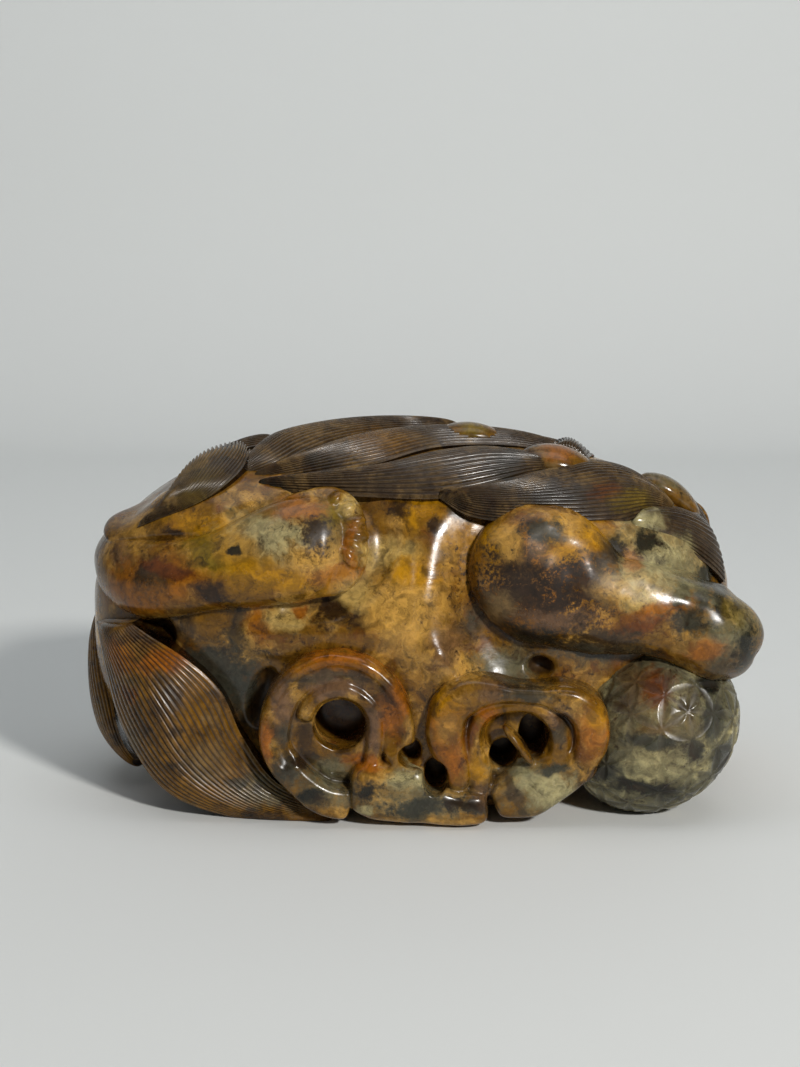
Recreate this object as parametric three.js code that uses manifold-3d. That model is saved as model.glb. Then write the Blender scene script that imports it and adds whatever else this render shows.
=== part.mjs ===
// A recumbent lion with a brocade ball, carved in the round from one jade boulder.
// Millimetres, +Z up. X runs along the animal to the forepaw, and -Y is the side that is shown.
// The origin is the middle of the base, at table height.
import * as THREE from "three";
import { mergeVertices } from "three/addons/utils/BufferGeometryUtils.js";
import Module from "manifold-3d";

// Driving dimensions of the boulder
const BODY_LENGTH = 142;
const BODY_MIDDLE_X = -3;
const BODY_HALF_DEPTH = 34;
const BODY_WAIST_Z = 40;
const BACK_RISE = 38;
const BELLY_DROP = 41;
const SECTION_POWER = 2.5;

// How proud of the stone each kind of carving stands
const LEG_PROUD = 6;
const LOCK_PROUD = 2.4;
const BEAD_PROUD = 2.6;
const LOCK_ROOT_DEPTH = 3;

// Front ribbon: its faces, its band and its eyes
const RIBBON_FACE_Y = -41.5;
const RIBBON_BACK_Y = -27;
const COIL_STEP = 2.6;
const BAND_HALF_WIDTH = 3.3;
const EYE_RADIUS = 5.6;
const SMALL_EYE_RADIUS = 3.1;
const EYE_DEPTH = 17;

// Ball under the forepaw
const BALL_CENTRE = [49.5, -24.5, 17.6];
const BALL_LONG_RADIUS = 19.6;
const BALL_SHORT_RADIUS = 16.9;
const BALL_TILT = Math.PI / 4.2;

// Where the middle of the base falls, measured from the middle of the work as it is laid out
const BASE_MIDDLE = [-2.65, 0.1];

const JADE_COLOUR = 0x8a5f35;
const JADE_ROUGHNESS = 0.28;
const ROUND_STEPS = 10;

const wasm = await Module();
wasm.setup();

// Geometry to solid and back

const vector = (x, y, z) => new THREE.Vector3(x, y, z);
const mix = THREE.MathUtils.lerp;

function signedVolume(geometry) {
  const p = geometry.attributes.position;
  const index = geometry.index;
  const corners = [vector(), vector(), vector()];
  let sum = 0;
  for (let i = 0; i < index.count; i += 3) {
    corners.forEach((corner, k) => corner.fromBufferAttribute(p, index.getX(i + k)));
    sum += corners[0].dot(corners[1].clone().cross(corners[2])) / 6;
  }
  return sum;
}

// A closed geometry as a solid, with its faces turned outwards.
function solidOf(geometry) {
  const bare = geometry.clone();
  bare.deleteAttribute("normal");
  bare.deleteAttribute("uv");
  const merged = mergeVertices(bare, 1e-4);
  const triVerts = new Uint32Array(merged.index.array);
  if (signedVolume(merged) < 0) {
    for (let i = 0; i < triVerts.length; i += 3) {
      [triVerts[i + 1], triVerts[i + 2]] = [triVerts[i + 2], triVerts[i + 1]];
    }
  }
  const vertProperties = new Float32Array(merged.attributes.position.array);
  return new wasm.Manifold(new wasm.Mesh({ numProp: 3, vertProperties, triVerts }));
}

function geometryOf(solid) {
  const mesh = solid.getMesh();
  const geometry = new THREE.BufferGeometry();
  geometry.setAttribute("position", new THREE.BufferAttribute(new Float32Array(mesh.vertProperties), 3));
  geometry.setIndex(new THREE.BufferAttribute(new Uint32Array(mesh.triVerts), 1));
  geometry.computeVertexNormals();
  return geometry;
}

// The stone's surface as a chart: x along it, an angle round it (0 is the shown side, 90 the
// crest, 180 the far side), and a lift off it.

const oval = (t, power) => Math.pow(Math.max(0, 1 - Math.pow(Math.abs(t), power)), 1 / power);

function onStone(x, degrees, lift = 0) {
  const t = (x - BODY_MIDDLE_X) / (BODY_LENGTH / 2);
  const angle = THREE.MathUtils.degToRad(degrees);
  const c = Math.cos(angle);
  const s = Math.sin(angle);
  const halfDepth = BODY_HALF_DEPTH * oval(t, 2.6);
  const halfHeight = s > 0 ? BACK_RISE * oval(t, 2.3) : BELLY_DROP * oval(t, 3.2);
  const reach = Math.pow(Math.pow(Math.abs(c), SECTION_POWER) + Math.pow(Math.abs(s), SECTION_POWER), -1 / SECTION_POWER);
  const point = vector(x, -halfDepth * c * reach, BODY_WAIST_Z + halfHeight * s * reach);
  return point.addScaledVector(stoneNormal(t, c * reach, s * reach, halfDepth, halfHeight), lift);
}

function stoneNormal(t, across, up, halfDepth, halfHeight) {
  const slope = (value) => Math.sign(value) * Math.pow(Math.abs(value), SECTION_POWER - 1);
  const endwards = Math.sign(t) * Math.pow(Math.abs(t), 1.4) / (BODY_LENGTH / 2);
  return vector(endwards, -slope(across) / Math.max(halfDepth, 1), slope(up) / Math.max(halfHeight, 1)).normalize();
}

// A rounded limb along a few stations. A station is a centre, the way out of the stone, the
// half width along the stone and the half thickness out of it.

function limb(stations, { sides = ROUND_STEPS, rings = 9, fullness = 3, squareness = 2 } = {}) {
  const centre = new THREE.CatmullRomCurve3(stations.map((s) => s.at), false, "centripetal");
  const out = new THREE.CatmullRomCurve3(stations.map((s) => s.out));
  const size = new THREE.CatmullRomCurve3(stations.map((s) => vector(s.wide, s.thick, 0)));
  const geometry = new THREE.SphereGeometry(1, sides, rings);
  const p = geometry.attributes.position;
  for (let i = 0; i < p.count; i++) {
    const along = (1 - THREE.MathUtils.clamp(p.getY(i), -1, 1)) / 2;
    const round = Math.atan2(p.getZ(i), p.getX(i));
    const swell = oval(2 * along - 1, fullness);
    const tangent = centre.getTangent(along);
    const normal = out.getPoint(along).projectOnPlane(tangent).normalize();
    const side = tangent.clone().cross(normal);
    const half = size.getPoint(along);
    const ca = Math.cos(round);
    const sa = Math.sin(round);
    const plump = Math.pow(Math.pow(Math.abs(ca), squareness) + Math.pow(Math.abs(sa), squareness), -1 / squareness);
    const q = centre.getPoint(along);
    q.addScaledVector(side, half.x * ca * plump * swell);
    q.addScaledVector(normal, half.y * sa * plump * swell);
    p.setXYZ(i, q.x, q.y, q.z);
  }
  return solidOf(geometry);
}

// A station on the stone, and one in the open with its own way out.
const stoneAt = (x, degrees, wide, thick, lift = 0) => {
  const at = onStone(x, degrees, lift);
  const out = onStone(x, degrees, lift + 1).sub(at);
  return { at, out, wide, thick };
};
const openAt = (x, y, z, wide, thick, out = [0, -1, 0]) => ({ at: vector(x, y, z), out: vector(...out), wide, thick });

// A round form with its own three radii, turned about Y and then Z.
function pebble([x, y, z], [rx, ry, rz], { tilt = 0, turn = 0, sides = ROUND_STEPS, rings = 7 } = {}) {
  const geometry = new THREE.SphereGeometry(1, sides, rings);
  geometry.scale(rx, ry, rz).rotateY(tilt).rotateZ(turn).translate(x, y, z);
  return solidOf(geometry);
}

// A lock of hair: a leaf between two edges on a chart, crowned in the middle, with its root
// sunk in the stone. An edge is a few [a, b] points from the tip to the broad end.

function lock(chart, lowEdge, highEdge, { crown = LOCK_PROUD, rim = 0.5, root = LOCK_ROOT_DEPTH, along = 7, across = 3 } = {}) {
  const edges = [lowEdge, highEdge].map((edge) => new THREE.SplineCurve(edge.map(([a, b]) => new THREE.Vector2(a, b))));
  const geometry = new THREE.BoxGeometry(1, 1, 1, across, along, 1);
  const p = geometry.attributes.position;
  for (let i = 0; i < p.count; i++) {
    const u = p.getX(i) + 0.5;
    const v = p.getY(i) + 0.5;
    const low = edges[0].getPoint(v);
    const place = low.lerp(edges[1].getPoint(v), u);
    const top = rim + (crown - rim) * Math.sin(Math.PI * u) * oval(2 * v - 1, 4);
    const q = chart(place.x, place.y, p.getZ(i) > 0 ? top : -root);
    p.setXYZ(i, q.x, q.y, q.z);
  }
  return solidOf(geometry);
}

// The stone body, and the apron of stone behind the front ribbons

function trunk() {
  const geometry = new THREE.SphereGeometry(1, 28, 16);
  geometry.rotateZ(Math.PI / 2);
  const p = geometry.attributes.position;
  for (let i = 0; i < p.count; i++) {
    const t = THREE.MathUtils.clamp(p.getX(i), -1, 1);
    const degrees = THREE.MathUtils.radToDeg(Math.atan2(p.getZ(i), -p.getY(i)));
    const q = onStone(BODY_MIDDLE_X + t * (BODY_LENGTH / 2), degrees);
    p.setXYZ(i, q.x, q.y, q.z);
  }
  return solidOf(geometry);
}

function apron() {
  return limb(
    [
      openAt(-38, -20, 16, 12, 9),
      openAt(-12, -24, 17, 16, 12),
      openAt(20, -24, 17, 16, 12),
      openAt(42, -19, 18, 12, 9),
    ],
    { rings: 8, squareness: 2.6 },
  );
}

// Legs of the shown side

function nearHindLeg() {
  const thigh = limb(
    [
      openAt(-68.5, 4, 49, 7, 5, [-1, 0, 0.1]),
      openAt(-67.5, -13, 48, 8.4, 6.4, [-0.8, -0.6, 0]),
      stoneAt(-58, 20, 8, LEG_PROUD),
      stoneAt(-47, 22, 7.8, LEG_PROUD),
      stoneAt(-36, 25, 9, LEG_PROUD + 1),
      stoneAt(-26, 28, 11.2, LEG_PROUD + 1.4),
      stoneAt(-15.5, 31, 9, LEG_PROUD + 0.6),
    ],
    { sides: 10, rings: 10 },
  );
  const pad = limb([stoneAt(-20, 45, 2.2, 3), stoneAt(-14.6, 39, 2.4, 3.4), stoneAt(-13.4, 30, 2.4, 3.6), stoneAt(-17.5, 17, 2.2, 3)], {
    sides: 7,
    rings: 8,
  });
  const toes = [42, 36.5, 31, 25.5].map((degrees, i) => {
    const at = onStone(-17 + 1.6 * Math.sin((Math.PI * (i + 0.5)) / 4), degrees, 3.6);
    return pebble(at.toArray(), [2.3, 2.3, 2.2], { sides: 6, rings: 4 });
  });
  return [thigh, pad, ...toes];
}

function nearForeLeg() {
  const shoulder = limb(
    [
      stoneAt(9, 17, 9, 4),
      stoneAt(18, 19, 14.5, LEG_PROUD + 0.5),
      stoneAt(30, 19, 14.5, LEG_PROUD + 1),
      stoneAt(44, 14, 9, LEG_PROUD),
    ],
    { sides: 12, rings: 8 },
  );
  const forearm = limb(
    [
      openAt(24, -27, 49.5, 12.5, 11),
      openAt(38, -28, 45.2, 10, 9.5),
      openAt(52, -27, 41.6, 8.8, 9),
      openAt(61, -25.5, 38.2, 9.6, 10),
      openAt(68.5, -23.5, 32.4, 8, 9, [0.35, -1, 0]),
    ],
    { sides: 10, rings: 10, fullness: 4 },
  );
  const toes = [-31, -26.6, -22.2, -17.8].map((y, i) =>
    limb(
      [
        openAt(61.5, y, 43 - i, 2.4, 2.6, [0.2, 0, 1]),
        openAt(67.6, y, 38.4, 2.5, 2.8, [1, 0, 0.7]),
        openAt(67.8, y, 30, 2, 2.4, [1, 0, -0.3]),
      ],
      { sides: 7, rings: 5 },
    ),
  );
  return [shoulder, forearm, ...toes];
}

// Ball, and the oval beads on the spine

function ball() {
  const size = [BALL_LONG_RADIUS, BALL_SHORT_RADIUS, BALL_SHORT_RADIUS];
  return [pebble(BALL_CENTRE, size, { tilt: -BALL_TILT, sides: 18, rings: 10 })];
}

const BEADS = [
  { x: 9.8, degrees: 84, long: 7.6, wide: 4.6 },
  { x: 28.5, degrees: 66, long: 7.9, wide: 5 },
  { x: 54, degrees: 78, long: 6.6, wide: 4.2 },
  { x: -9, degrees: 122, long: 7, wide: 4.4 },
  { x: -29, degrees: 118, long: 6.4, wide: 4 },
];

function beads() {
  return BEADS.map(({ x, degrees, long, wide }) =>
    limb(
      [
        stoneAt(x - long, degrees, wide, BEAD_PROUD, 0.8),
        stoneAt(x, degrees, wide, BEAD_PROUD, 1.2),
        stoneAt(x + long, degrees, wide, BEAD_PROUD, 0.8),
      ],
      { sides: 8, rings: 4, fullness: 2 },
    ),
  );
}

// Mane: locks that sweep from the head at the right to tips at the left, over the crest

const MANE_LOCKS = [
  {
    low: [[-60, 46], [-52, 43.5], [-44.5, 48], [-39.5, 57], [-36.5, 68]],
    high: [[-59, 49], [-55.5, 62], [-53, 80], [-47, 93], [-39, 88]],
    crown: 4,
  },
  {
    low: [[-38.5, 57], [-31, 59], [-25, 67], [-17, 80], [-4, 97]],
    high: [[-39, 62], [-37.5, 80], [-34, 96], [-20, 108], [-2, 114]],
    crown: 4,
  },
  {
    low: [[-37, 54], [-25, 54], [-10, 58], [3, 69], [20, 78]],
    high: [[-36.5, 57], [-25, 68], [-13, 84], [2, 96], [20, 100]],
    crown: 3,
  },
  {
    low: [[-36, 52], [-25, 49], [-13, 46], [3, 45], [18, 52]],
    high: [[-35, 54.5], [-22, 55], [-8, 59], [4, 69], [21, 70]],
  },
  {
    low: [[3, 43], [13, 38], [26, 36], [40, 38], [51, 50]],
    high: [[5, 46], [18, 52], [29, 57], [38, 70], [50, 84]],
  },
  {
    low: [[25, 84], [29, 85], [33, 86], [37, 88]],
    high: [[25, 90], [29, 96], [33, 98], [37, 97]],
    crown: 3,
  },
];

const FAR_LOCKS = [
  {
    low: [[-57, 137], [-50, 139], [-43, 134], [-37, 125], [-33, 114]],
    high: [[-56, 133], [-53, 120], [-50, 108], [-44, 104], [-36, 106]],
    crown: 3.6,
  },
  {
    low: [[-34, 133], [-20, 137], [-4, 138], [10, 135], [22, 128]],
    high: [[-33, 129], [-20, 122], [-6, 116], [8, 112], [22, 106]],
  },
  {
    low: [[-16, 158], [-4, 160], [8, 157], [20, 150]],
    high: [[-15, 153], [-5, 145], [8, 140], [21, 133]],
  },
];

const CHEEK_LOCKS = [
  {
    low: [[42, 39], [52, 33], [60, 29], [65.5, 22]],
    high: [[43, 43], [54, 46], [62, 52], [65.5, 44]],
    crown: 3,
  },
  {
    low: [[51, 46], [58, 48], [63, 48], [65.5, 46]],
    high: [[52, 50], [58, 64], [62, 74], [65, 70]],
    crown: 3,
  },
  {
    low: [[54, 80], [60, 88], [64, 100], [66.4, 130]],
    high: [[53, 98], [59, 112], [63, 128], [65.6, 156]],
    crown: 3,
  },
];

function hair() {
  return [...MANE_LOCKS, ...FAR_LOCKS, ...CHEEK_LOCKS].map(({ low, high, crown = LOCK_PROUD }) => {
    return lock(onStone, low, high, { crown });
  });
}

// Tail: the broad plume at the lower left, laid on a sheet that leans out to the front ribbon,
// and the lock that wraps the rear end

const PLUME_LOW = [[-71, 39.5], [-69, 30], [-65.5, 19], [-56, 6.5], [-42, 0.5], [-20, -1.5]];
const PLUME_HIGH = [[-62, 41.5], [-51, 35.5], [-43, 28], [-38.5, 18], [-31.5, 8], [-19, 2]];

const plumeSheet = (x, z, lift) => {
  const wrap = Math.max(0, -50 - x) / 22;
  return vector(x - lift * 0.5 * wrap, -33 + 17 * wrap * wrap - lift, z);
};

function tail() {
  const plume = lock(plumeSheet, PLUME_LOW, PLUME_HIGH, { crown: 4.6, rim: 0.8, root: 12, along: 10, across: 5 });
  const rearLock = limb(
    [
      openAt(-69, 13, 41, 8, 4, [-1, 0.3, 0]),
      openAt(-72.5, 5, 29, 10, 4.4, [-1, 0, 0]),
      openAt(-70, -3, 15, 10, 5, [-1, -0.2, -0.2]),
      openAt(-63, -9, 4.5, 6.5, 4.4, [-0.8, 0, -1]),
    ],
    { rings: 8 },
  );
  const stem = limb([openAt(-60, 20, 60, 6, 4, [-0.7, 0.5, 0.6]), openAt(-70, 14, 48, 6.4, 4.4, [-1, 0.3, 0.1]), openAt(-72, 10, 36, 6, 4, [-1, 0.2, 0])], {
    sides: 8,
    rings: 6,
  });
  return [plume, rearLock, stem];
}

// Front ribbon: bands that roll round their eyes. Bands lie in planes across Y.

function band(points, face, { wide = BAND_HALF_WIDTH, rings = 11 } = {}) {
  const middle = (face + RIBBON_BACK_Y) / 2;
  const half = (RIBBON_BACK_Y - face) / 2;
  const stations = points.map(([x, z, width = wide]) => openAt(x, middle, z, width, half));
  return limb(stations, { sides: 8, rings, fullness: 9, squareness: 2.8 });
}

// Points of an oval arc from one bearing to another, in degrees from +X towards +Z.
function arc([x, z], [rx, rz], from, to, count) {
  return Array.from({ length: count }, (_, i) => {
    const angle = THREE.MathUtils.degToRad(mix(from, to, i / (count - 1)));
    return [x + rx * Math.cos(angle), z + rz * Math.sin(angle)];
  });
}

const LEFT_EYE = [-17.7, 21.3];
const RIGHT_EYE = [21.6, 19.2];
const RIGHT_SMALL_EYE = [16.9, 14];
const MIDDLE_EYE = [2.2, 10.9];
const SHOULDER_EYE = [25.4, 31.6];

function ribbons() {
  const inner = RIBBON_FACE_Y + COIL_STEP;
  const floor = RIBBON_FACE_Y + 2 * COIL_STEP;
  return [
    band([[-15, 3.6, 4.6], ...arc([-18.2, 19.5], [13.3, 14.6], 250, -32, 8)], RIBBON_FACE_Y),
    band([...arc(LEFT_EYE, [7.9, 7.6], 225, -20, 6), [-11.5, 9, 3]], inner, { wide: 2.9 }),
    band(
      [
        [11, 3.6, 4.6],
        [8.4, 10, 4.2],
        [5.2, 18, 4.2],
        [6.8, 25.6, 3.8],
        [13.5, 28.6],
        [22, 27.4, 2.4],
        [30, 27.6, 3],
        [35, 23, 4.2],
        [34, 14.5, 4.6],
        [26, 7.5, 4.4],
      ],
      RIBBON_FACE_Y,
      { rings: 14 },
    ),
    band([[13.5, 7], ...arc([20, 17.5], [9.2, 8.6], 190, 0, 6)], inner, { wide: 2.9 }),
    band([[-18, 3.6, 4.2], [-4, 3.6, 4.6], [6, 3.8, 4.8], [15.5, 4.6, 4.2]], RIBBON_FACE_Y - 0.4, { rings: 6 }),
    band([[14, 4.6, 4.8], [23, 7, 6], [32, 12.6, 4.4]], RIBBON_FACE_Y + 1, { rings: 7 }),
    band([[-28, 18, 9], [-17, 17, 14], [-6, 14, 10], [3, 12, 9]], floor, { rings: 8 }),
    band([[6, 14, 10], [19, 16, 12], [32, 17, 9]], floor, { rings: 7 }),
  ];
}

function eye([x, z], radius, depth = EYE_DEPTH, squash = 1) {
  const geometry = new THREE.CylinderGeometry(radius, radius * 0.8, depth, 10);
  geometry.scale(1, 1, squash).translate(x, RIBBON_FACE_Y - 3 + depth / 2, -z);
  geometry.applyMatrix4(new THREE.Matrix4().makeBasis(vector(1, 0, 0), vector(0, 1, 0), vector(0, 0, -1)));
  return solidOf(geometry);
}

// Hollows cut into the stone: the eyes, and the sunk ground under the hind leg and the shoulder

const HOLLOW_FACETS = { sides: 8, rings: 5 };

function hollows() {
  return [
    eye(LEFT_EYE, EYE_RADIUS),
    eye(RIGHT_EYE, 4.4, EYE_DEPTH, 0.9),
    eye(RIGHT_SMALL_EYE, SMALL_EYE_RADIUS),
    eye(MIDDLE_EYE, SMALL_EYE_RADIUS),
    pebble([SHOULDER_EYE[0], -36, SHOULDER_EYE[1]], [4.5, 7, 2.6], HOLLOW_FACETS),
    pebble([-57.5, -28, 38.6], [4.8, 7, 4], HOLLOW_FACETS),
    pebble([-34.5, -33, 25], [3.4, 6, 8], { tilt: 0.3, ...HOLLOW_FACETS }),
  ];
}

// Far side: the head turned to the back, its legs, and a plain ribbon

const HEAD = [44, 21.5, 51];
const headPoint = (x, y, z) => [HEAD[0] + x, HEAD[1] + y, HEAD[2] + z];

function head() {
  const bothSides = (make) => [-1, 1].flatMap(make);
  return [
    pebble(HEAD, [20, 15.5, 16], { sides: 12, rings: 8 }),
    pebble(headPoint(0, 12.5, -6), [12, 7.2, 7], { sides: 10, rings: 6 }),
    pebble(headPoint(0, 17.6, -1.2), [5, 3, 3.4], { sides: 7, rings: 4 }),
    pebble(headPoint(0, 11, -14), [8.6, 6.4, 4.6], { sides: 8, rings: 5 }),
    ...bothSides((s) => [
      pebble(headPoint(s * 8.2, 12.6, 4.4), [4.2, 3.6, 3.6], { sides: 7, rings: 4 }),
      limb(
        [
          openAt(...headPoint(s * 2.6, 14.6, 6.4), 2, 2.4, [0, 1, 0]),
          openAt(...headPoint(s * 8.4, 14, 10), 2.6, 3, [0, 1, 0]),
          openAt(...headPoint(s * 14.6, 10, 7), 2, 2.4, [0, 1, 0]),
        ],
        { sides: 6, rings: 4 },
      ),
      limb(
        [
          openAt(...headPoint(s * 14, 5, 6), 3.4, 2.6, [0, 1, 0.4]),
          openAt(...headPoint(s * 19, 4, 4), 4, 2.6, [0, 1, 0]),
          openAt(...headPoint(s * 21, 3, -5), 2.6, 2.2, [0, 1, 0]),
        ],
        { sides: 7, rings: 5 },
      ),
      pebble(headPoint(s * 15.4, 7.5, -7), [6, 5.4, 7.4], { sides: 7, rings: 5 }),
      pebble(headPoint(s * 9.5, 8.5, -16.5), [5.2, 5, 6], { sides: 7, rings: 5 }),
    ]),
  ];
}

function farLegs() {
  const haunch = pebble([-42, 23, 31], [24, 14.5, 24], { sides: 12, rings: 7 });
  const hindFoot = limb(
    [
      openAt(-58, 24, 12, 9, 9, [0, 1, 0]),
      openAt(-44, 28, 8, 8, 9.5, [0, 1, 0]),
      openAt(-28, 31, 6.4, 6.6, 8.6, [0, 1, 0]),
      openAt(-15, 32, 6.6, 7, 8, [0, 1, 0]),
    ],
    { sides: 10, rings: 8 },
  );
  const foreLeg = limb(
    [
      openAt(61, 12, 30, 11, 10, [0.3, 1, 0]),
      openAt(58, 21, 17, 11, 10, [0.2, 1, 0]),
      openAt(45, 28, 9.4, 9, 10, [0, 1, 0]),
      openAt(30, 31, 7.2, 7.4, 8.8, [0, 1, 0]),
      openAt(18, 32, 7, 7.4, 8.2, [0, 1, 0]),
    ],
    { sides: 10, rings: 10 },
  );
  const toes = [-13, 16].flatMap((x) => [27.5, 32.5, 37].map((y) => pebble([x, y, 5.4], [5, 2.7, 5], { sides: 6, rings: 4 })));
  return [haunch, hindFoot, foreLeg, ...toes];
}

function farRibbon() {
  const points = [[-10, 14, 3.4], ...arc([4, 23], [10.5, 9.5], 215, -50, 7)];
  const stations = points.map(([x, z, width = BAND_HALF_WIDTH]) => openAt(x, 30.5, z, width, 7, [0, 1, 0]));
  return [limb(stations, { sides: 8, rings: 11, fullness: 6 })];
}

// The largest body alone, so that a pocket sealed between two forms is stone right through.
const wholeOf = (solid) => solid.decompose().sort((a, b) => b.volume() - a.volume())[0];

function underside() {
  const geometry = new THREE.BoxGeometry(300, 300, 60);
  geometry.translate(0, 0, -30);
  return solidOf(geometry);
}

function carving() {
  const forms = [
    apron(),
    ...nearHindLeg(),
    ...nearForeLeg(),
    ...ball(),
    ...hair(),
    ...beads(),
    ...tail(),
    ...ribbons(),
    ...head(),
    ...farLegs(),
    ...farRibbon(),
  ];
  const joined = wholeOf(forms.reduce((stone, form) => stone.add(form), trunk()));
  const hollowed = hollows().reduce((stone, hollow) => stone.subtract(hollow), joined);
  const geometry = geometryOf(wholeOf(hollowed.subtract(underside())));
  return geometry.translate(-BASE_MIDDLE[0], -BASE_MIDDLE[1], 0);
}

const jade = new THREE.MeshStandardMaterial({ color: JADE_COLOUR, roughness: JADE_ROUGHNESS, metalness: 0 });
const lion = new THREE.Mesh(carving(), jade);
lion.name = "lion_carving";

const boulder = new THREE.Group();
boulder.add(lion);

export default boulder;
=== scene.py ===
"""A recumbent lion with a brocade ball and a scrolling ribbon, carved in the round from one
mottled jade boulder, on a plain pale table.

Every form is laid out in millimetres, with X along the animal, -Y the shown side and Z up.
Rounded stone is modelled in level-set clay, hair locks are combed leaves, and the ball is
cut with a leaf lattice."""

import math

import bmesh
import bpy
import numpy as np
import openvdb as vdb
from bpy.props import FloatProperty, FloatVectorProperty, PointerProperty
from mathutils import Euler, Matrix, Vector


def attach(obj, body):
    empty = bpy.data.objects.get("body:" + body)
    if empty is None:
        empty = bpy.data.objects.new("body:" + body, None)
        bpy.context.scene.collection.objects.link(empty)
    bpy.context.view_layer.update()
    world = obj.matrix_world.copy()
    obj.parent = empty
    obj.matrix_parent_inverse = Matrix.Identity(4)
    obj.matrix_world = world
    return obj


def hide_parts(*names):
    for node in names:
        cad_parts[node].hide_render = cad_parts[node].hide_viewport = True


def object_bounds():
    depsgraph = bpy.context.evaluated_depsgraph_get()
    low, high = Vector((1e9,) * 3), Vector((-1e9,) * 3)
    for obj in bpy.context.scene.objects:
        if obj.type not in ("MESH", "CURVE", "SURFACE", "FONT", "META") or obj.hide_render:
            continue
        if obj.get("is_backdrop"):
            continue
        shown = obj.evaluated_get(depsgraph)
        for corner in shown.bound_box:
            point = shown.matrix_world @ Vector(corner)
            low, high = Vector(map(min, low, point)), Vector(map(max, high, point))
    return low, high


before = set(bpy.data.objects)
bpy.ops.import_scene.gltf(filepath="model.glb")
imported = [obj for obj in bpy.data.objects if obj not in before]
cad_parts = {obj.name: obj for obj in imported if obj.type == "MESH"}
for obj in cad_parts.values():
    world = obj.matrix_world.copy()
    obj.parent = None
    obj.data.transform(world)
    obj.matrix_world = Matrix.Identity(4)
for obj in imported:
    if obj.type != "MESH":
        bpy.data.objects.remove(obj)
CAD_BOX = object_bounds()

bl_info = {
    "name": "Jade lion carving",
    "version": (1, 0, 0),
    "blender": (4, 5, 0),
    "location": "3D View > Sidebar > Carving",
    "description": "Builds a polished, mottled jade lion with a brocade ball and a ribbon",
    "category": "Object",
}

NODE = "lion_carving"
BODY = "root"
MM = 0.001

# The boulder, as the solid has it
BODY_LENGTH = 142.0
BODY_MIDDLE_X = -3.0
BODY_HALF_DEPTH = 34.0
BODY_WAIST_Z = 40.0
BACK_RISE = 38.0
BELLY_DROP = 41.0
SECTION_POWER = 2.5
BASE_MIDDLE = (-2.65, 0.1, 0.0)

# Hair locks: how deep their roots lie, and the vertices across one strand
LOCK_ROOT_DEPTH = 3.0
STRAND_STEPS = 6

# Front ribbon
RIBBON_FACE_Y = -41.5
RIBBON_BACK_Y = -27.0
COIL_STEP = 2.6
LEFT_EYE = (-17.7, 21.6)

# Ball
BALL_CENTRE = (49.5, -24.5, 17.6)
BALL_TILT = math.pi / 4.2

# Head on the far side
HEAD = (44.0, 21.5, 51.0)


# Settings


def tone(red, green, blue):
    """A display colour, 0 to 255, as the linear one that shaders take."""
    parts = (red / 255, green / 255, blue / 255)
    return tuple(c / 12.92 if c <= 0.04045 else ((c + 0.055) / 1.055) ** 2.4 for c in parts)


def length_of(name, description, millimetres):
    """A length that the user can set, kept in metres."""
    return FloatProperty(
        name=name,
        description=description,
        default=millimetres * MM,
        min=0.0,
        precision=5,
        subtype="DISTANCE",
        unit="LENGTH",
    )


def colour_in(name, description, red, green, blue):
    """A colour of the stone that the user can set, from display values."""
    return FloatVectorProperty(
        name=name,
        description=description,
        default=tone(red, green, blue),
        min=0.0,
        max=1.0,
        size=3,
        subtype="COLOR",
    )


class CarvingSizes(bpy.types.PropertyGroup):
    """Sizes of the carving that can be changed before it is built."""

    leg_relief: length_of("Leg relief", "How far the legs stand out from the stone", 6)
    bead_relief: length_of("Bead relief", "How far the spine beads stand out", 2.6)
    moat_depth: length_of("Moat depth", "How deep the stone is cut back beside the shoulder", 3.4)
    band_half_width: length_of(
        "Ribbon half width", "Half the width of the ribbon where nothing else is given", 3.3
    )
    mane_pitch: length_of("Mane strand pitch", "Distance between two strands of the mane", 0.88)
    tail_pitch: length_of("Tail strand pitch", "Distance between two strands of the tail", 1.25)
    mane_groove: length_of("Mane groove depth", "Depth of the combed grooves in the mane", 0.5)
    cheek_groove: length_of("Cheek groove depth", "Depth of the combed grooves in the cheek hair", 0.62)
    tail_groove: length_of("Tail groove depth", "Depth of the combed grooves in the tail", 0.5)
    ball_long_radius: length_of("Ball long radius", "Longest radius of the ball", 19.6)
    ball_short_radius: length_of("Ball short radius", "The ball's two other radii", 16.9)
    leaf_half_width: length_of("Leaf half width", "Half the width of a leaf cut into the ball", 1.05)
    leaf_length: length_of("Leaf length", "Length of a leaf cut into the ball", 6.8)
    leaf_depth: length_of("Leaf depth", "Depth of a leaf cut into the ball", 0.2)
    pillow_height: length_of("Pillow height", "Swell of the stone between two leaves", 0.12)


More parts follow.
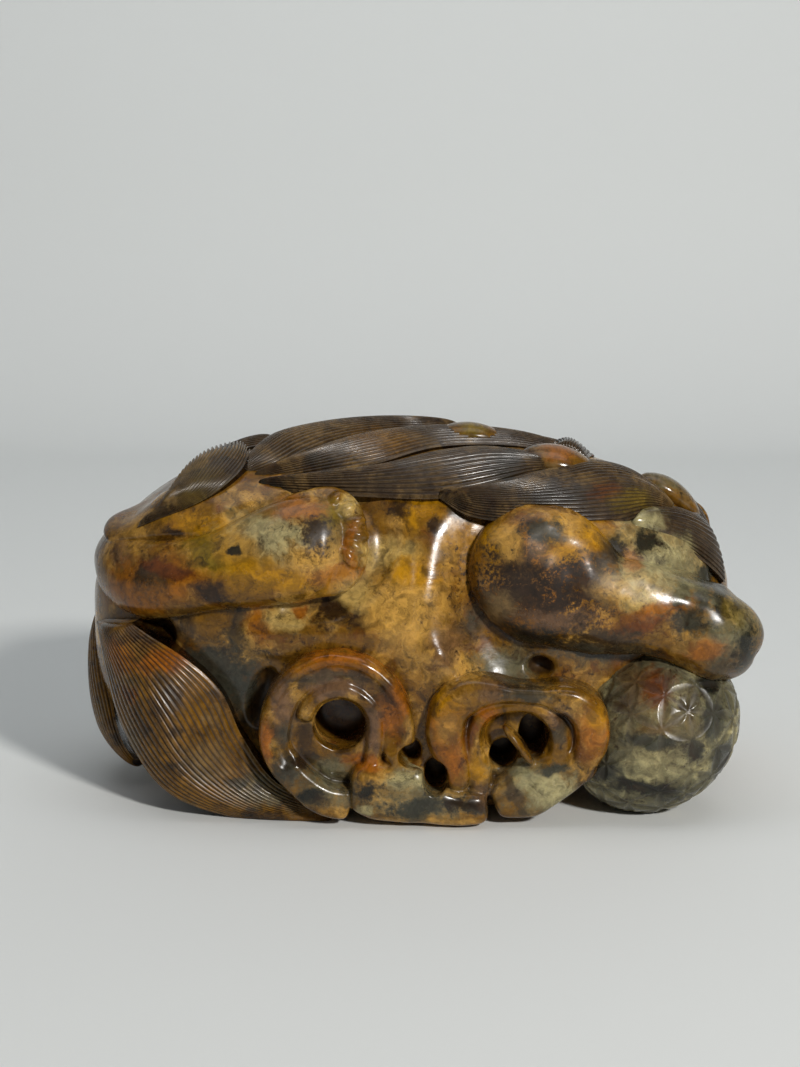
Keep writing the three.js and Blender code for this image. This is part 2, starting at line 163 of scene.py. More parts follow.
class CarvingColours(bpy.types.PropertyGroup):
    """Colours of the stone."""

    amber: colour_in("Amber", "Warm brown yellow of the legs and the scrolls", 134, 80, 8)
    gold: colour_in("Gold", "Clear yellow of the flank", 160, 112, 4)
    honey: colour_in("Honey", "Brown yellow ground of the stone", 108, 74, 16)
    orange: colour_in("Orange", "Iron-stained orange of the ribbon's turns", 140, 80, 12)
    rust: colour_in("Rust", "Red brown streaks in the legs", 90, 46, 12)
    cream: colour_in("Cream", "Light warm patches", 180, 150, 84)
    ivory: colour_in("Ivory", "Palest stone, on the chest and the ball", 156, 146, 104)
    peach: colour_in("Peach", "Light orange of the belly", 176, 134, 62)
    olive: colour_in("Olive", "Green yellow patches of the hind leg", 108, 88, 20)
    celadon: colour_in("Celadon", "Grey green stone, low on the ribbon and on the ball", 96, 92, 68)
    slate: colour_in("Slate", "Dark grey green stone", 52, 52, 43)
    mauve: colour_in("Mauve", "Grey brown stone in the ribbon's trough", 100, 74, 52)
    bark: colour_in("Bark", "Dark brown of the mane", 64, 50, 32)
    tan: colour_in("Tan", "Light brown of the combed hair", 104, 82, 48)
    # Umber is also the colour that hollows and creases are darkened towards, as grime and painted shade
    # together
    umber: colour_in("Umber", "Stain in the hollows and veins", 38, 24, 12)
    ink: colour_in("Ink", "Near-black spots", 19, 21, 16)


def size(name):
    """A size as the user has set it, in millimetres."""
    return getattr(bpy.context.scene.carving_sizes, name) / MM


def colour_of(name):
    return tuple(getattr(bpy.context.scene.carving_colours, name))


# Curves and charts


def spline(points, t):
    """A centripetal Catmull-Rom curve through rows of points, at t from 0 to 1."""
    points = np.asarray(points, float)
    t = np.clip(np.asarray(t, float), 0.0, 1.0)
    spans = len(points) - 1
    ends = np.vstack([2 * points[0] - points[1], points, 2 * points[-1] - points[-2]])
    k = np.minimum((t * spans).astype(int), spans - 1)
    w = (t * spans - k)[:, None]
    p0, p1, p2, p3 = ends[k], ends[k + 1], ends[k + 2], ends[k + 3]

    def gap(a, b):
        return np.sqrt(np.maximum(np.linalg.norm(b - a, axis=1), 1e-6))[:, None]

    d0, d1, d2 = gap(p0, p1), gap(p1, p2), gap(p2, p3)
    m1 = ((p1 - p0) / d0 - (p2 - p0) / (d0 + d1) + (p2 - p1) / d1) * d1
    m2 = ((p2 - p1) / d1 - (p3 - p1) / (d1 + d2) + (p3 - p2) / d2) * d1
    return (
        (2 * w**3 - 3 * w**2 + 1) * p1
        + (w**3 - 2 * w**2 + w) * m1
        + (3 * w**2 - 2 * w**3) * p2
        + (w**3 - w**2) * m2
    )


def oval(t, power):
    return np.maximum(0.0, 1.0 - np.abs(t) ** power) ** (1.0 / power)


def unit(v):
    return v / np.maximum(np.linalg.norm(v, axis=-1, keepdims=True), 1e-9)


def smoothstep(low, high, x):
    t = np.clip((x - low) / (high - low), 0.0, 1.0)
    return t * t * (3 - 2 * t)


def on_stone(x, degrees, lift=0.0):
    """A point on the boulder: x along it, degrees round it (0 is the shown side, 90 the
    crest and 180 the far side), and a lift off it."""
    x, degrees, lift = np.broadcast_arrays(*(np.asarray(a, float) for a in (x, degrees, lift)))
    t = (x - BODY_MIDDLE_X) / (BODY_LENGTH / 2)
    c, s = np.cos(np.radians(degrees)), np.sin(np.radians(degrees))
    half_depth = BODY_HALF_DEPTH * oval(t, 2.6)
    half_height = np.where(s > 0, BACK_RISE * oval(t, 2.3), BELLY_DROP * oval(t, 3.2))
    reach = (np.abs(c) ** SECTION_POWER + np.abs(s) ** SECTION_POWER) ** (-1 / SECTION_POWER)
    point = np.stack([x, -half_depth * c * reach, BODY_WAIST_Z + half_height * s * reach], -1)

    def slope(value):
        return np.sign(value) * np.abs(value) ** (SECTION_POWER - 1)

    normal = np.stack(
        [
            np.sign(t) * np.abs(t) ** 1.4 / (BODY_LENGTH / 2),
            -slope(c * reach) / np.maximum(half_depth, 1),
            slope(s * reach) / np.maximum(half_height, 1),
        ],
        -1,
    )
    return point + unit(normal) * lift[..., None]


def on_plume(x, z, lift=0.0):
    """A point on the sheet of the tail plume, which wraps round the rear end."""
    x, z, lift = np.broadcast_arrays(*(np.asarray(a, float) for a in (x, z, lift)))
    wrap = np.maximum(0.0, -50 - x) / 22
    return np.stack([x - lift * 0.5 * wrap, -33 + 17 * wrap**2 - lift, z], -1)


# Closed shells, each as (points, quads)


def grid_quads(rows, columns, wrap=False):
    """Quads of a grid of points, rows by columns, whose columns may close on themselves."""
    i, j = np.meshgrid(np.arange(rows - 1), np.arange(columns if wrap else columns - 1), indexing="ij")
    right = (j + 1) % columns
    quads = np.stack(
        [i * columns + j, i * columns + right, (i + 1) * columns + right, (i + 1) * columns + j], -1
    )
    return quads.reshape(-1, 4)


def limb(stations, sides=40, rings=48, fullness=3.0, squareness=2.0):
    """A rounded limb along stations of (centre, way out of the stone, half width along the
    stone, half thickness out of it)."""
    along = (1 - np.cos(np.linspace(0, math.pi, rings + 1))) / 2
    at = [s[0] for s in stations]
    centre = spline(at, along)
    tangent = unit(spline(at, along + 1e-3) - spline(at, along - 1e-3))
    out = spline([s[1] for s in stations], along)
    normal = unit(out - tangent * (out * tangent).sum(1, keepdims=True))
    side = np.cross(tangent, normal)
    half = spline([(s[2], s[3]) for s in stations], along) * oval(2 * along - 1, fullness)[:, None]
    turn = np.linspace(0, 2 * math.pi, sides, endpoint=False)
    ca, sa = np.cos(turn), np.sin(turn)
    plump = (np.abs(ca) ** squareness + np.abs(sa) ** squareness) ** (-1 / squareness)
    points = (
        centre[:, None]
        + side[:, None] * (half[:, :1] * (ca * plump))[..., None]
        + normal[:, None] * (half[:, 1:] * (sa * plump))[..., None]
    )
    return points.reshape(-1, 3), grid_quads(rings + 1, sides, wrap=True)


def stone_at(x, degrees, wide, thick, lift=0.0):
    """A station on the stone."""
    at = on_stone(x, degrees, lift)
    return at, on_stone(x, degrees, lift + 1) - at, wide, thick


def open_at(x, y, z, wide, thick, out=(0, -1, 0)):
    """A station in the open, with its own way out."""
    return np.array([x, y, z], float), np.array(out, float), wide, thick


def furrow(points, radius, depth, proud=0.0):
    """A round-bottomed channel to cut along points of (x, degrees) on the stone, into a
    surface that stands proud of it."""
    stations = []
    for x, degrees in points:
        stations.append(stone_at(x, degrees, radius, radius, proud + radius - depth))
    return limb(stations, sides=24, rings=60, fullness=6)


def channel(points, face, wide, depth, thick=4.0):
    """A round-bottomed channel to cut into a face at Y, through points of (x, z)."""
    stations = [open_at(x, face - thick + depth, z, wide, thick) for x, z in points]
    return limb(stations, sides=24, rings=70, fullness=6)


def pebble(centre, radii, tilt=0.0, turn=0.0, sides=40, flatness=2.0):
    """A round form with its own three radii, turned about Y and then Z. More flatness gives
    it broader faces towards Y."""
    polar = np.linspace(0, math.pi, sides // 2 + 1)[:, None]
    round_ = np.linspace(0, 2 * math.pi, sides, endpoint=False)[None]
    plump = (np.sin(polar) ** flatness + np.abs(np.cos(polar)) ** flatness) ** (-1 / flatness)
    p = np.stack(
        [np.sin(polar) * np.cos(round_), np.cos(polar) + 0 * round_, np.sin(polar) * np.sin(round_)], -1
    ) * (plump[..., None] * np.array(radii, float))
    c, s = math.cos(tilt), math.sin(tilt)
    x, y, z = p[..., 0] * c + p[..., 2] * s, p[..., 1], -p[..., 0] * s + p[..., 2] * c
    c, s = math.cos(turn), math.sin(turn)
    p = np.stack([x * c - y * s, x * s + y * c, z], -1) + np.array(centre, float)
    return p.reshape(-1, 3), grid_quads(sides // 2 + 1, sides, wrap=True)


def trunk():
    t = np.cos(np.linspace(0, math.pi, 161))[:, None]
    degrees = np.linspace(0, 360, 160, endpoint=False)[None]
    points = on_stone(BODY_MIDDLE_X + t * (BODY_LENGTH / 2), degrees)
    return points.reshape(-1, 3), grid_quads(161, 160, wrap=True)


def arc(centre, radii, start, stop, count):
    """Points of an oval arc, in degrees from +X towards +Z."""
    a = np.radians(np.linspace(start, stop, count))
    return [(centre[0] + radii[0] * u, centre[1] + radii[1] * w) for u, w in zip(np.cos(a), np.sin(a))]


# Level-set clay

HOLLOW_PASSES = 8
HOLLOW_DEPTH = 0.5


class Clay:
    """A block of clay on a lattice: forms are pressed in or cut out with soft joins. Its
    field is the distance to the surface in lattice steps, and is negative inside."""

    REACH = 8

    def __init__(self, low, high, step):
        self.low = np.array(low, float)
        self.step = step
        shape = np.ceil((np.array(high, float) - self.low) / step).astype(int)
        self.field = np.full(shape, self.REACH, np.float32)

    def window(self, shell):
        """The part of the block that a shell reaches, and the shell's own field there."""
        points, quads = shell
        index = ((points - self.low) / self.step).astype(np.float32)
        grid = vdb.FloatGrid.createLevelSetFromPolygons(
            index, quads=quads.astype(np.uint32), exBandWidth=self.REACH, inBandWidth=self.REACH
        )
        first = np.maximum(np.floor(index.min(0)).astype(int) - self.REACH, 0)
        last = np.minimum(np.ceil(index.max(0)).astype(int) + self.REACH, self.field.shape)
        if (last <= first).any():
            return None, None
        values = np.empty(last - first, np.float32)
        grid.copyToArray(values, ijk=tuple(int(k) for k in first))
        return tuple(slice(a, b) for a, b in zip(first, last)), values

    def press(self, shell, soft=0.4):
        """Adds a form, with a fillet of about soft millimetres."""
        where, values = self.window(shell)
        if where:
            k = max(soft / self.step, 1e-3)
            old = self.field[where]
            h = np.maximum(k - np.abs(old - values), 0) / k
            self.field[where] = np.minimum(old, values) - h * h * k / 4
        return self

    def cut(self, shell, soft=0.4):
        """Takes a form away, with its rim rounded by about soft millimetres."""
        where, values = self.window(shell)
        if where:
            k = max(soft / self.step, 1e-3)
            old = self.field[where]
            h = np.maximum(k - np.abs(old + values), 0) / k
            self.field[where] = np.maximum(old, -values) + h * h * k / 4
        return self

    def level(self, z=0.0):
        """Cuts everything below a height away."""
        heights = self.low[2] + self.step * np.arange(self.field.shape[2])
        self.field = np.maximum(self.field, ((z - heights) / self.step).astype(np.float32))
        return self

    def polish(self, passes=1):
        """Rounds the finest edges off, as polishing does."""
        for _ in range(passes):
            for axis in range(3):
                f = np.moveaxis(self.field, axis, 0)
                f[1:-1] = (f[:-2] + 2 * f[1:-1] + f[2:]) / 4
        return self

    def wear(self, amount, size, seed):
        """Leaves the surface gently uneven, as hand work does, by amount millimetres."""
        random = np.random.default_rng(seed)
        steps = [np.arange(n) * self.step / size for n in self.field.shape]
        swell = random.standard_normal([int(a[-1]) + 2 for a in steps]).astype(np.float32)
        for axis, at in enumerate(steps):
            k = at.astype(int)
            along_axis = [-1 if i == axis else 1 for i in range(3)]
            w = smoothstep(0, 1, at - k).astype(np.float32).reshape(along_axis)
            swell = swell.take(k, axis) * (1 - w) + swell.take(k + 1, axis) * w
        self.field += swell * (amount / self.step)
        return self

    def hollows(self, points):
        """How deep each point lies in a hollow: 0 on flats and crests, up to 1 in creases."""
        soft = self.field.copy()
        for _ in range(HOLLOW_PASSES):
            for axis in range(3):
                f = np.moveaxis(soft, axis, 0)
                f[1:-1] = (f[:-2] + f[1:-1] + f[2:]) / 3
        where = (points - self.low) / self.step
        base = np.clip(np.floor(where).astype(int), 0, np.array(soft.shape) - 2)
        w = where - base
        total = np.zeros(len(points))
        for corner in np.ndindex(2, 2, 2):
            share = np.prod(np.where(corner, w, 1 - w), axis=1)
            i, j, k = (base + corner).T
            total += share * soft[i, j, k]
        return np.clip(-total * self.step / HOLLOW_DEPTH, 0, 1)

    def surface(self):
        f = self.field
        for axis in range(3):
            edge = np.moveaxis(f, axis, 0)
            edge[0] = edge[-1] = np.maximum(edge[0], 1)
        grid = vdb.FloatGrid(self.REACH)
        grid.copyFromArray(np.ascontiguousarray(f))
        points, quads = grid.convertToQuads(0.0)
        return points * self.step + self.low, quads.astype(np.int64)


# Meshes


def to_frame(points):
    return (np.asarray(points, float) - np.array(BASE_MIDDLE)) * MM


def new_object(name, points, polygons, smooth=True):
    """A mesh object at the origin, from points in millimetres and lists of corners."""
    mesh = bpy.data.meshes.new(name)
    if isinstance(polygons, list):
        sizes = np.array([len(p) for p in polygons])
        corners = np.concatenate([np.asarray(p) for p in polygons])
    else:
        sizes = np.full(len(polygons), polygons.shape[1])
        corners = polygons.ravel()
    mesh.vertices.add(len(points))
    mesh.vertices.foreach_set("co", to_frame(points).astype(np.float32).ravel())
    mesh.loops.add(len(corners))
    mesh.loops.foreach_set("vertex_index", corners.astype(np.int32))
    mesh.polygons.add(len(sizes))
    mesh.polygons.foreach_set("loop_start", (np.cumsum(sizes) - sizes).astype(np.int32))
    mesh.update(calc_edges=True)
    mesh.validate()
    mesh.polygons.foreach_set("use_smooth", np.full(len(mesh.polygons), smooth))
    obj = bpy.data.objects.new(name, mesh)
    bpy.context.scene.collection.objects.link(obj)
    return obj


def apply_modifiers(obj):
    """Keeps the object's evaluated shape as its plain mesh."""
    graph = bpy.context.evaluated_depsgraph_get()
    shaped = bpy.data.meshes.new_from_object(obj.evaluated_get(graph), depsgraph=graph)
    obj.modifiers.clear()
    old = obj.data
    obj.data = shaped
    shaped.name = obj.name
    bpy.data.meshes.remove(old)
    return obj


def facing_out(obj):
    """Turns a closed mesh the right way round."""
    mesh = obj.data
    mesh.calc_loop_triangles()
    co = np.empty(len(mesh.vertices) * 3, np.float32)
    mesh.vertices.foreach_get("co", co)
    tri = np.empty(len(mesh.loop_triangles) * 3, np.int32)
    mesh.loop_triangles.foreach_get("vertices", tri)
    a, b, c = co.reshape(-1, 3).astype(float)[tri.reshape(-1, 3)].transpose(1, 0, 2)
    if (a * np.cross(b, c)).sum() < 0:
        mesh.flip_normals()
    return obj


def from_clay(name, clay, most_triangles):
    points, quads = clay.surface()
    obj = facing_out(new_object(name, points, quads))
    thin = obj.modifiers.new("thin", "DECIMATE")
    thin.ratio = min(1.0, most_triangles / (2 * len(quads)))
    apply_modifiers(obj)
    co = np.empty(len(obj.data.vertices) * 3, np.float32)
    obj.data.vertices.foreach_get("co", co)
    # How deep each point lies in a hollow, kept for the colour, which darkens hollows as grime and painted
    # shade
    hollow = clay.hollows(co.reshape(-1, 3) / MM + BASE_MIDDLE)
    obj.data.attributes.new("hollow", "FLOAT", "POINT").data.foreach_set("value", hollow.astype(np.float32))
    return obj


def joined(name, objects):
    """Several objects as one."""
    target = objects[0]
    with bpy.context.temp_override(active_object=target, selected_editable_objects=objects):
        bpy.ops.object.join()
    target.name = target.data.name = name
    return target


def claim(obj, material):
    obj.data.materials.clear()
    obj.data.materials.append(material)
    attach(obj, BODY)
    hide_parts(NODE)
    return obj


# Forms of the shown side

SHOULDER_GROOVE = [(22, 44), (17.4, 36), (14.4, 27), (13.6, 18), (14.2, 8), (16.4, 0), (22, -6)]
LEG_LINE = [(-28.5, 52), (-32, 46), (-37, 41), (-43, 37), (-47, 35.6)]
LEG_TOP = [
    (-20, 42.2), (-26, 41.2), (-35.5, 37.4), (-40.5, 34.6), (-46, 32.6), (-52, 33.4), (-63, 37.6), (-66, 40)
]
FOOT_MOAT = [(-24, 45), (-15, 43.5), (-9.5, 36), (-8.8, 28), (-11, 20), (-18, 13.5), (-30, 10)]
NEAR_TOES = ((-19.0, 40.8), (-16.6, 38.2), (-14.9, 34.6), (-14.2, 31), (-14.3, 27.6), (-15.4, 24.4))


def near_hind_leg():
    proud = size("leg_relief")
    clay = Clay((-77, -44, 26), (-4, 26, 77), 0.36)
    clay.press(
        limb(
            [
                stone_at(-36, 27, 8, proud - 2),
                stone_at(-27, 28.5, 11.4, proud - 2.4),
                stone_at(-19, 30, 11.8, proud - 2.6),
                stone_at(-12.0, 30.5, 10.6, proud - 3),
            ],
            sides=60,
            rings=60,
        )
    )
    for i, (x, degrees) in enumerate(NEAR_TOES):
        toe = pebble(on_stone(x, degrees, 2.5), (2.9, 2.2, 1.5), tilt=math.radians(-48 + 21 * i), sides=28)
        clay.press(toe, 0.25)
    clay.press(
        limb(
            [
                open_at(-58, 22, 50, 7, 5, (-0.7, 0.7, 0.1)),
                open_at(-67.0, 5, 50, 8.6, 5.6, (-1, 0.1, 0.1)),
                open_at(-65.8, -14, 50.6, 8.6, 6.0, (-0.8, -0.6, 0)),
                stone_at(-57, 21.5, 8.4, proud - 0.4),
                stone_at(-46, 22, 8.2, proud),
                stone_at(-36, 24.5, 9.8, proud + 0.8),
                stone_at(-27, 27.5, 11.4, proud + 1.6),
                stone_at(-20.5, 28.8, 11.2, proud + 1.2),
                stone_at(-16.2, 28.4, 9.4, proud - 0.6),
            ],
            sides=64,
            rings=100,
            fullness=4,
        ),
        0.3,
    )
    clay.cut(furrow([(-62, 26), (-52, 27.5), (-46, 25), (-41, 24)], 2.0, 0.25), 0.8)
    return from_clay("hind_leg", clay.wear(0.12, 5.5, 3).polish(), 90000)


def near_foreleg():
    clay = Clay((0, -44, 20), (76, -2, 72), 0.36)
    clay.press(pebble((24.8, -27.6, 52.4), (15.9, 10.2, 14.9), tilt=0.25, sides=90, flatness=2.8))
    clay.press(
        limb(
            [
                open_at(20, -26, 50, 12.6, 11),
                open_at(32, -27.2, 47.6, 11.8, 10.6),
                open_at(44, -28.0, 45.2, 10.2, 9.8),
                open_at(53, -27.4, 43.2, 9.2, 9.6),
                open_at(60, -27.4, 39.8, 9.8, 10.8),
                open_at(67.6, -23.0, 34.8, 9.4, 10.0, (0.4, -1, 0)),
            ],
            sides=64,
            rings=80,
            fullness=5,
            squareness=2.3,
        ),
        4.0,
    )
    for y, z in ((-30.6, 37.8), (-26.4, 39.2), (-22.0, 39.6)):
        groove = [
            open_at(60.8, y, z + 8.4, 0.9, 1.0, (0.3, 0, 1)),
            open_at(66.8, y, z + 4.6, 1.0, 1.2, (1, 0, 0.7)),
            open_at(69.6, y, z - 3.0, 0.9, 1.2, (1, 0, 0)),
        ]
        clay.cut(limb(groove, sides=20, rings=40), 0.9)
    clay.cut(channel([(20, 47), (27, 44.6), (34, 45.4)], -39.2, 3.6, 0.5), 1.5)
    return from_clay("foreleg", clay.wear(0.3, 5.0, 5).polish(), 90000)


def band(points, face, wide=None, rings=70, squareness=2.3):
    """A ribbon band through points of (x, z) or (x, z, half width), with its face at Y."""
    middle = (face + RIBBON_BACK_Y) / 2
    half = (RIBBON_BACK_Y - face) / 2
    wide = wide or size("band_half_width")
    stations = [open_at(p[0], middle, p[1], p[2] if len(p) > 2 else wide, half) for p in points]
    return limb(stations, sides=44, rings=rings, fullness=9, squareness=squareness)


def eye(centre, radii, front, back):
    """A round hole to drill along Y."""
    stations = [
        open_at(centre[0], y, centre[1], radii[0], radii[1], (0, 0, 1))
        for y in (front, (front + back) / 2, back)
    ]
    return limb(stations, sides=40, rings=30, fullness=9)


def outer_bands():
    """The two scrolls' outer bands: the left one is a broad collar, the right one an S."""
    left = [
        (-15.4, 4.6, 4.2),
        (-21.4, 6.2, 3.6),
        (-27.6, 11.4, 3.4),
        *arc((-18.2, 20.2), (13.2, 14.6), 190, -22, 8),
        (-7.4, 13.4, 2.4),
    ]
    right = [
        (7.6, 8.0, 2.4),
        (6.8, 13.2, 3.2),
        (4.9, 17.6, 4.2),
        (4.5, 21.6, 4.5),
        (6.0, 26.2, 4.5),
        (10.0, 28.7, 4.0),
        (14.5, 29.3, 2.8),
        (19.0, 28.9, 2.0),
        (24.0, 28.5, 2.1),
        (29.6, 27.6, 3.3),
        (34.2, 24.4, 3.9),
        (35.3, 19.4, 3.8),
        (33.4, 14.6, 3.4),
        (29, 11.4, 3.0),
    ]
    return left, right


def drill_eyes(clay):
    """Cuts the ribbon's eyes and the pockets round it."""
    clay.cut(eye(LEFT_EYE, (5.6, 5.2), -46, -25), 0.5)
    clay.cut(eye((19.4, 19.6), (6.8, 5.0), -46, -34.8), 0.6)
    clay.cut(eye((22.8, 19.2), (2.9, 4.4), -46, -25), 0.3)
    clay.cut(eye((16.7, 15.2), (3.1, 2.9), -46, -25), 0.3)
    clay.cut(eye((2.5, 11.0), (2.7, 3.7), -46, -26), 0.4)
    clay.cut(eye((-2.9, 15.8), (2.4, 2.6), -46, -30), 0.8)
    clay.cut(pebble((24.4, -37, 33.0), (3.8, 9, 2.9), tilt=0.2), 0.5)
    return clay


def front_ribbon():
    mid = RIBBON_FACE_Y + 1.5
    floor = RIBBON_FACE_Y + 2 * COIL_STEP
    clay = Clay((-40, -45, -1.5), (44, -24, 40), 0.33)
    for flat in (
        [(-28, 18, 9), (-17, 17, 14), (-6, 14, 10), (3, 12, 9)], [(6, 14, 10), (19, 16, 12), (32, 17, 9)]
    ):
        clay.press(band(flat, floor, rings=40, squareness=2.8))
    clay.press(
        band(
            [(-30, 18, 6), (-22, 21, 14), (-13, 21, 14), (-5.6, 18, 6)], mid + 1.7, rings=60, squareness=2.6
        ),
        0.4,
    )
    clay.press(
        band([(6, 20, 9), (16, 20, 11), (28, 19, 9.6), (34, 18, 6)], mid + 1.7, rings=60, squareness=2.6), 0.4
    )
    left, right = outer_bands()
    clay.press(band(left, RIBBON_FACE_Y, rings=110, squareness=5), 0.4)
    clay.cut(channel(arc((-18.2, 20.4), (11.5, 12.6), 212, -18, 10), RIBBON_FACE_Y, 2.6, 1.7, thick=2.4), 1.0)
    clay.press(
        band(
            [*arc((-17.7, 21.8), (7.7, 7.9), 172, -10, 8), (-11.2, 13.0, 2.2), (-14.2, 7.4, 2.6)],
            mid - 0.6,
            2.2,
            rings=90,
            squareness=3,
        ),
        0.35,
    )
    clay.press(
        band(
            [(-24.4, 21.0, 1.3), (-22.0, 16.4, 1.6), (-17.6, 14.4, 1.8), (-13.4, 15.4, 1.6)], mid + 1.8, 1.6
        ),
        0.3,
    )
    inner = [
        (11.8, 6.2, 2.8),
        (11.9, 11.6, 2.8),
        (10.7, 16.6, 2.1),
        (10.6, 21.2, 1.9),
        (13.0, 24.9, 1.8),
        (18.0, 26.1, 1.6),
        (23.8, 25.6, 1.7),
        (27.6, 22.0, 2.4),
        (28.4, 16.6, 2.6),
        (25.6, 12.0, 2.4),
    ]
    clay.press(band(inner, mid - 0.2, rings=100, squareness=3.4), 0.35)
    clay.press(band(right, RIBBON_FACE_Y, rings=110, squareness=4), 0.4)
    clay.press(
        band(
            [(-15.6, 8.2, 5.0), (-9.6, 8.0, 6.8), (-2.4, 6.4, 6.0), (5, 4.4, 4.2), (13.4, 4.4, 3.8)],
            RIBBON_FACE_Y - 0.3,
            rings=80,
            squareness=4,
        ),
        0.35,
    )
    clay.press(
        limb(
            [
                open_at(-5, -38.6, 13.4, 1.4, 1.6),
                open_at(-2.4, -40.2, 10.6, 3.0, 2),
                open_at(1.6, -40.4, 7.2, 1.6, 1.6),
            ],
            sides=30,
            rings=40,
        ),
        0.4,
    )
    clay.press(
        band(
            [(14.6, 5.2, 4.2), (22, 8.0, 6.2), (29.4, 12.0, 5.4), (35.6, 14.6, 3)],
            RIBBON_FACE_Y + 1.2,
            squareness=4.5,
        ),
        0.4,
    )
    clay.cut(channel([(24.8, 12.4), (21.6, 8.4), (19.2, 3.4)], RIBBON_FACE_Y + 0.9, 0.9, 0.6, thick=2), 0.6)
    drill_eyes(clay)
    clay.press(
        limb(
            [
                open_at(16.6, -38.6, 22.4, 0.9, 3),
                open_at(19.8, -39.4, 18.4, 1.1, 3.6),
                open_at(22.8, -38.6, 13.8, 0.9, 3),
            ],
            sides=24,
            rings=30,
        ),
        0.4,
    )
    clay.wear(0.13, 4.0, 9)
    return from_clay("front_ribbon", clay.level().polish(), 120000)


def stone_body():
    clay = Clay((-78, -42, -1.5), (74, 41, 82), 0.5)
    clay.press(trunk())
    clay.press(
        limb(
            [
                open_at(-38, -20, 16, 12, 9),
                open_at(-12, -24, 17, 16, 12),
                open_at(20, -24, 17, 16, 12),
                open_at(42, -19, 18, 12, 9),
            ],
            squareness=2.6,
        ),
        4.0,
    )
    chest = [
        stone_at(27, 29, 6, 3), stone_at(38, 28, 7, 3.2), stone_at(49, 27, 8.4, 2.2), stone_at(60, 27, 8, 1.0)
    ]
    clay.press(limb(chest), 5.0)
    clay.press(pebble((-42, 23, 31), (24, 14.5, 24), sides=60), 3.0)
    strip = [
        stone_at(-64, 75, 8, 1.6),
        stone_at(-62.5, 57, 9, 2.0),
        stone_at(-56, 46, 8, 3.4),
        stone_at(-46, 46, 9, 3.4),
        stone_at(-37, 48.5, 8, 2.6),
        stone_at(-28, 54, 5, 1.2),
    ]
    clay.press(limb(strip, rings=60, squareness=2.6), 2.0)
    ledge = [
        open_at(-38, -29.0, 38, 4, 4),
        open_at(-26, -31.6, 39.6, 4, 4.4),
        open_at(-14, -31.8, 39.8, 4, 4.4),
        open_at(-2, -30.6, 40, 4, 4),
    ]
    clay.press(limb(ledge, squareness=3.5), 3.0)
    clay.press(pebble((0.0, -26.0, 39.0), (22, 10.6, 19), sides=60), 5.0)
    clay.press(pebble((5.0, -31.0, 35.0), (8, 6.6, 6), tilt=0.6), 4.0)
    stem = [
        open_at(-60, 20, 60, 6, 4, (-0.7, 0.5, 0.6)),
        open_at(-70, 14, 48, 6.4, 4.4, (-1, 0.3, 0.1)),
        open_at(-72, 10, 36, 6, 4, (-1, 0.2, 0)),
    ]
    clay.press(limb(stem), 2.0)
    clay.cut(furrow(SHOULDER_GROOVE, 12.0, size("moat_depth")), 5.0)
    clay.cut(furrow(FOOT_MOAT, 3.4, 1.5), 2.0)
    clay.cut(furrow(LEG_TOP, 1.5, 1.6, proud=3.6), 0.7)
    clay.cut(furrow(LEG_LINE, 0.9, 0.8, proud=3.2), 0.6)
    clay.cut(pebble((-57.5, -28, 38.6), (4.8, 7, 4)), 0.6)
    clay.cut(pebble((-34.5, -33, 25), (3.4, 6, 8), tilt=0.3), 0.8)
    drill_eyes(clay)
    return from_clay("stone_body", clay.wear(0.22, 7.0, 1).level().polish(), 170000)


def far_limbs():
    clay = Clay((-72, 6, -1.5), (76, 43, 46), 0.45)
    hind = [
        open_at(-58, 24, 12, 9, 9, (0, 1, 0)),
        open_at(-44, 28, 8, 8, 9.5, (0, 1, 0)),
        open_at(-28, 31, 6.4, 6.6, 8.6, (0, 1, 0)),
        open_at(-15, 32, 6.6, 7, 8, (0, 1, 0)),
    ]
    fore = [
        open_at(61, 12, 30, 11, 10, (0.3, 1, 0)),
        open_at(58, 21, 17, 11, 10, (0.2, 1, 0)),
        open_at(45, 28, 9.4, 9, 10, (0, 1, 0)),
        open_at(30, 31, 7.2, 7.4, 8.8, (0, 1, 0)),
        open_at(18, 32, 7, 7.4, 8.2, (0, 1, 0)),
    ]
    clay.press(limb(hind))
    clay.press(limb(fore, rings=70))
    for x in (-13, 16):
        for y in (27.5, 32.5, 37):
            clay.press(pebble((x, y, 5.4), (5, 2.7, 5)), 0.8)
            tip = 4.4 if x > 0 else -4.4
            clay.press(pebble((x - tip, y, 3.2), (1.8, 1.3, 2.2), sides=24), 0.3)
    run = [(-10, 14, 3.4), *arc((4, 23), (10.5, 9.5), 215, -50, 8)]
    stations = [
        open_at(p[0], 30.5, p[1], p[2] if len(p) > 2 else size("band_half_width"), 7, (0, 1, 0)) for p in run
    ]
    clay.press(limb(stations, rings=70, fullness=6, squareness=2.3), 0.5)
    return from_clay("far_limbs", clay.level().polish(), 90000)


def head_at(x, y, z):
    return HEAD[0] + x, HEAD[1] + y, HEAD[2] + z


def spiral(centre, radius, turns, thick, hand=1, face=(0, 1, 0)):
    """A coiled furrow on a curl, which faces along Y."""
    count = int(10 * turns) + 2
    stations = []
    for i in range(count):
        share = i / (count - 1)
        angle = hand * 2 * math.pi * turns * share
        r = radius * (1 - 0.86 * share)
        bulge = 0.55 * radius * math.sqrt(max(0.0, 1 - (r / radius) ** 2 * 0.9))
        at = (centre[0] + r * math.cos(angle), centre[1] + bulge, centre[2] + r * math.sin(angle))
        stations.append(open_at(*at, thick, thick, face))
    return limb(stations, sides=16, rings=24 + 20 * int(turns), fullness=8)


